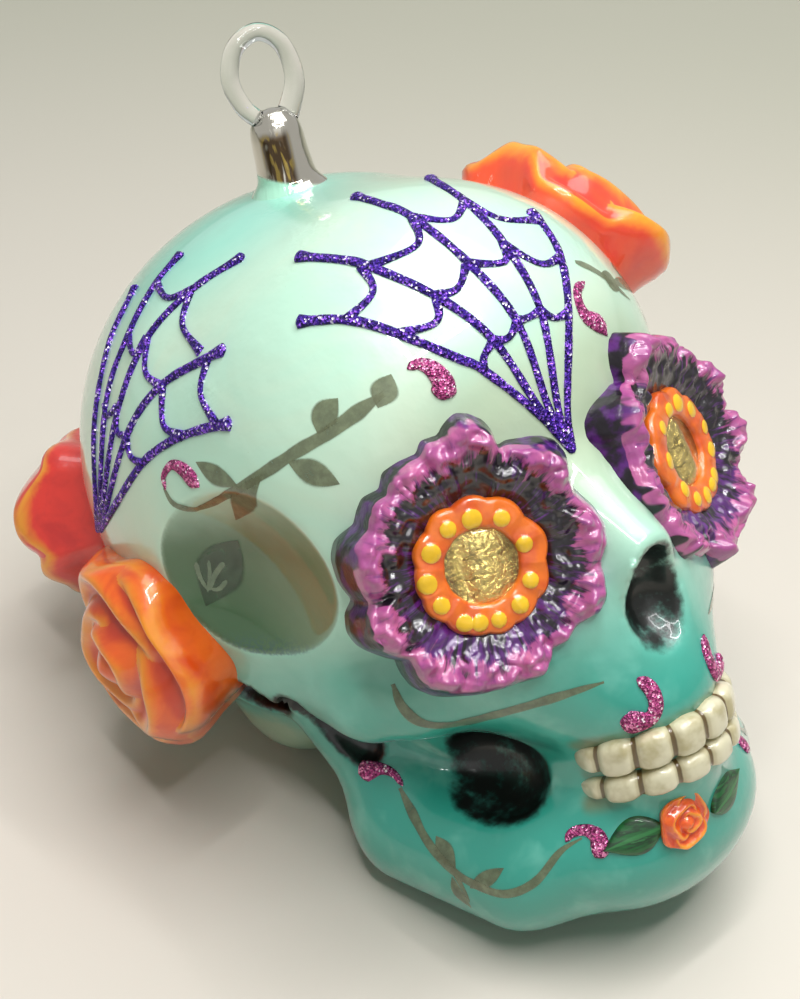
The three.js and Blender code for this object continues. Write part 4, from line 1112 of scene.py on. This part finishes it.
webs = {
    "forehead": {
        "strands": [
            [(573, 453), (537, 413), (483, 370), (457, 358), (393, 332), (347, 320), (297, 322)],
            [(573, 453), (540, 410), (493, 340), (437, 297), (370, 267), (340, 260), (297, 257)],
            [(573, 453), (550, 412), (517, 322), (467, 262), (413, 218), (380, 204), (355, 197)],
            [(573, 453), (558, 410), (540, 310), (503, 243), (465, 202), (430, 179)],
            [(573, 453), (567, 410), (568, 313), (560, 257), (540, 222), (527, 211)],
        ],
        "sags": [
            [(362, 267), (373, 292), (347, 320)], [(413, 218), (417, 245), (372, 266)],
            [(465, 202), (452, 220), (414, 218)], [(465, 202), (500, 219), (536, 221)],
            [(437, 297), (436, 322), (400, 334)], [(467, 262), (458, 288), (437, 296)],
            [(503, 243), (504, 262), (468, 264)], [(560, 258), (540, 264), (505, 246)],
            [(493, 341), (484, 356), (483, 370)], [(517, 322), (508, 338), (493, 341)],
            [(540, 311), (527, 318), (516, 321)], [(568, 313), (554, 318), (540, 311)],
        ],
    },
    "side": {
        "strands": [
            [(101, 530), (140, 467), (170, 442), (200, 430), (232, 423)],
            [(101, 530), (127, 437), (160, 387), (208, 358), (226, 349)],
            [(100, 530), (117, 417), (147, 340), (193, 290), (245, 256)],
            [(99, 530), (107, 403), (130, 333), (157, 283), (183, 253)],
            [(98, 530), (95, 430), (108, 350), (127, 305), (137, 286)],
        ],
        "sags": [
            [(209, 357), (201, 393), (217, 425)], [(191, 292), (183, 325), (201, 352)],
            [(193, 290), (168, 298), (157, 283)], [(163, 385), (164, 425), (183, 436)],
            [(148, 338), (146, 372), (162, 387)], [(147, 338), (134, 354), (129, 335)],
            [(127, 436), (131, 456), (143, 464)], [(118, 408), (118, 432), (128, 436)],
            [(117, 408), (107, 416), (106, 404)],
        ],
    },
    "radius": 0.62, "endRadius": 0.95, "flat": 0.62, "lift": 0.12,
    "violet": tone(64, 28, 150), "lilac": tone(150, 96, 232), "paintedGlint": tone(236, 226, 255),
    "night": tone(30, 12, 84),
}
curls = {  # by pixel of the photograph, tail first: across, down and half the width
    "strokes": {
        "right_brow_curl": [(407, 369, 4), (418, 364, 6), (432, 369, 9), (443, 383, 12), (443, 400, 15)],
        "right_temple_curl": [(166, 490, 2.5), (164, 476, 3.5), (172, 465, 5), (184, 470, 8), (194, 481, 9),
                              (200, 487, 4)],
        "right_cheek_curl": [(637, 678, 6), (650, 688, 8), (656, 704, 8), (650, 718, 9), (632, 722, 14),
                            (620, 722, 15)],
        "right_jaw_curl": [(403, 786, 2.5), (394, 774, 4), (382, 769, 6), (370, 770, 10), (359, 773, 13)],
        "right_chin_curl": [(566, 842, 3), (572, 833, 5), (585, 830, 6), (597, 836, 8.5), (600, 848, 10),
                           (595, 857, 11)],
        "left_brow_curl": [(584, 282, 4.5), (577, 290, 5.5), (579, 304, 6), (586, 317, 8.5), (598, 324, 10.5),
                           (607, 336, 4)],
    },
    "mirrored": ["cheek", "jaw", "chin"],
    "flat": 0.4, "lift": 0.1,
    "pink": tone(190, 74, 138), "pale": tone(240, 150, 196), "paintedGlint": tone(255, 236, 246), "deep": tone(120, 36, 86),
}


def glitterMaterial(name, deep, main, pale, paintedGlint):
    paint = Recipe(name)
    at, flakes = paint.place(), 3.6  # flakes to a millimetre
    red, green, blue = paint.split(paint.cells(at, flakes, "Color"))  # three numbers for each flake
    colour = paint.mix(paint.fade(red, 0.25, 0.75), deep, main)
    colour = paint.mix(paint.fade(green, 0.72, 0.8), colour, pale)
    # painted glints: a few flakes coloured near white
    colour = paint.mix(paint.fade(blue, 0.93, 0.95), colour, paintedGlint)
    grain = paint.cells(at, flakes)
    return paint.finish(Base_Color=colour, Metallic=0.35 + 0.5 * green, Roughness=0.25 + 0.3 * red,
                        Normal=paint.bump(grain + red * 0.8, 0.22, 0.9))


def beadMesh(items, flat, lift, flipped=False):  # several beads of glue as one mesh
    points, faces, start, sides = [], [], 0, 12
    for line, radii in items:
        line = line * [-1 if flipped else 1, 1, 1]
        normals = glassNormal(line)
        points.append(tube(line + normals * lift, radii, sides, flat, normals))
        faces += gridFaces(len(line), sides, start=start) + capFaces(len(line), sides, start)
        start += len(points[-1])
    return np.concatenate(points), faces


def webItems(web):
    items = []
    for strand in web["strands"]:
        line = smoothLine(fromPhoto(smoothLine(strand, 5)), 0.4)
        share = np.linspace(0, 1, len(line))
        drop = np.exp(-((1 - share) * len(line) * 0.4 / 1.6) ** 2)  # the drop that ends a strand
        radii = webs["radius"] * (0.78 + 0.3 * share) + (webs["endRadius"] - webs["radius"]) * drop
        radii *= 1 + 0.12 * waves(share * 6.28, (3, 7, 11), len(line))
        radii[[0, -1]] *= 0.35
        items.append((line, radii))
    for sag in web["sags"]:
        line = smoothLine(fromPhoto(smoothLine(sag, 4)), 0.4)
        share = np.linspace(0, 1, len(line))
        items.append((line, webs["radius"] * (0.72 + 0.5 * np.abs(2 * share - 1) ** 2)))
    return items


def curlItem(stroke):
    line = smoothLine(stroke, 2.5)
    places = fromPhoto(line[:, :2])
    depth = (places - eye) @ ahead
    share = np.linspace(0, 1, len(line))
    ends = np.sqrt(np.clip((1 - share) * 7, 0.02, 1)) * np.sqrt(np.clip(share * 12, 0.05, 1))
    radii = line[:, 2] * depth / lensView["focus"] * ends
    fine = smoothLine(np.hstack([places, radii[:, None]]), 0.25)
    return fine[:, :3], fine[:, 3]


violetGlitter = glitterMaterial("violetGlitter", webs["night"], webs["violet"], webs["lilac"], webs["paintedGlint"])
pinkGlitter = glitterMaterial("pinkGlitter", curls["deep"], curls["pink"], curls["pale"], curls["paintedGlint"])
for name, node, key in (("foreheadWeb", "forehead_web", "forehead"), ("rightSideWeb", "right_side_web", "side")):
    points, faces = beadMesh(webItems(webs[key]), webs["flat"], webs["lift"])
    addPiece(name, points, faces, violetGlitter, [node])
laidCurls = [(node, stroke, False) for node, stroke in curls["strokes"].items()]
laidCurls += [("left_%s_curl" % key, curls["strokes"]["right_%s_curl" % key], True) for key in curls["mirrored"]]
for node, stroke, flipped in laidCurls:
    points, faces = beadMesh([curlItem(stroke)], curls["flat"], curls["lift"], flipped)
    side, key, kind = node.split("_")
    addPiece(side + key.title() + kind.title(), points, faces, pinkGlitter, [node])
print("glitter laid")


# camera, floor and light

studio = {
    "floorNear": tone(213, 204, 194), "floorFar": tone(196, 192, 177),
    "daylight": (1.0, 0.99, 0.96, 1), "mirrored": 0.5,  # what the glass reflects
    "shade": (0.8, 1.0, 0.86, 1), "world": 0.2,  # what falls on all else
    "key": ((0.28, 0.1, 1.1), (0.9, 0.9), 6.8), "fill": ((-0.5, -0.8, 0.7), (0.8, 0.7), 0.7),
    "strips": [((0, -0.2), (0.24, 0.016)), ((0, -0.02), (0.24, 0.016)),
               ((-0.12, -0.11), (0.016, 0.2)), ((0.12, -0.11), (0.016, 0.2))],  # a window's frame overhead
    "stripLevel": 0.42, "stripPower": 0.4,
    "floorSize": 4, "farFrom": 60, "farTo": 260,  # metres, then millimetres towards the far right
}


def addCamera():
    data = bpy.data.cameras.new("photoCamera")
    data.sensor_width = 36
    data.lens = data.sensor_width * lensView["focus"] / max(lensView["picture"])
    data.clip_start, data.clip_end = 0.01, 20
    camera = addObject("photoCamera", data)
    camera.matrix_world = standing @ columnMatrix(right, up, -ahead, eye)
    bpy.context.scene.camera = camera


def addFloor():
    mesh = bpy.data.meshes.new("floor")
    half = studio["floorSize"]
    mesh.from_pydata([(-half, -half, 0), (half, -half, 0), (half, half, 0), (-half, half, 0)], [], [(0, 1, 2, 3)])
    paint = Recipe("palePaper")
    x, y, z = paint.split(paint.world())
    # painted shade: the floor greys towards the far right
    far = paint.fade(y * 0.5 + x * 0.8, studio["farFrom"], studio["farTo"])
    colour = paint.mix(far, studio["floorNear"], studio["floorFar"])
    mesh.materials.append(paint.finish(Base_Color=colour, Roughness=0.6))
    addObject("floor", mesh)


def addLamp(name, place, size, power, aimed=True):  # aimed at the head, or else straight down
    light = bpy.data.lights.new(name, "AREA")
    light.shape = "RECTANGLE"
    light.size, light.size_y = size
    light.energy = power
    turn = frameMatrix((0, 0, 0), np.array(place) - (0, 0, 0.05)) if aimed else Matrix.Identity(4)
    addObject(name, light).matrix_world = Matrix.Translation(place) @ turn


def addWorld():  # brighter where the glass mirrors it than where it lights the rest
    paint = Recipe("studio", "worlds")
    glossy, through = (paint.node("ShaderNodeLightPath", out="Is %s Ray" % kind) for kind in ("Glossy", "Transmission"))
    clear = paint.maths("MAXIMUM", glossy, through)
    tint = paint.mix(clear, studio["shade"], studio["daylight"])
    strength = clear * (studio["mirrored"] - studio["world"]) + studio["world"]
    light = paint.node("ShaderNodeBackground", None, {0: tint, 1: strength})
    paint.node("ShaderNodeOutputWorld", None, {"Surface": light}, out=None)
    bpy.context.scene.world = paint.made


def addLamps():
    addLamp("key", *studio["key"])
    addLamp("fill", *studio["fill"])
    for i, (place, size) in enumerate(studio["strips"]):
        addLamp("strip%d" % i, (*place, studio["stripLevel"]), size, studio["stripPower"], aimed=False)


addCamera()
addFloor()
addWorld()
addLamps()
bpy.context.scene.view_settings.view_transform = "Standard"

print("scene ready")
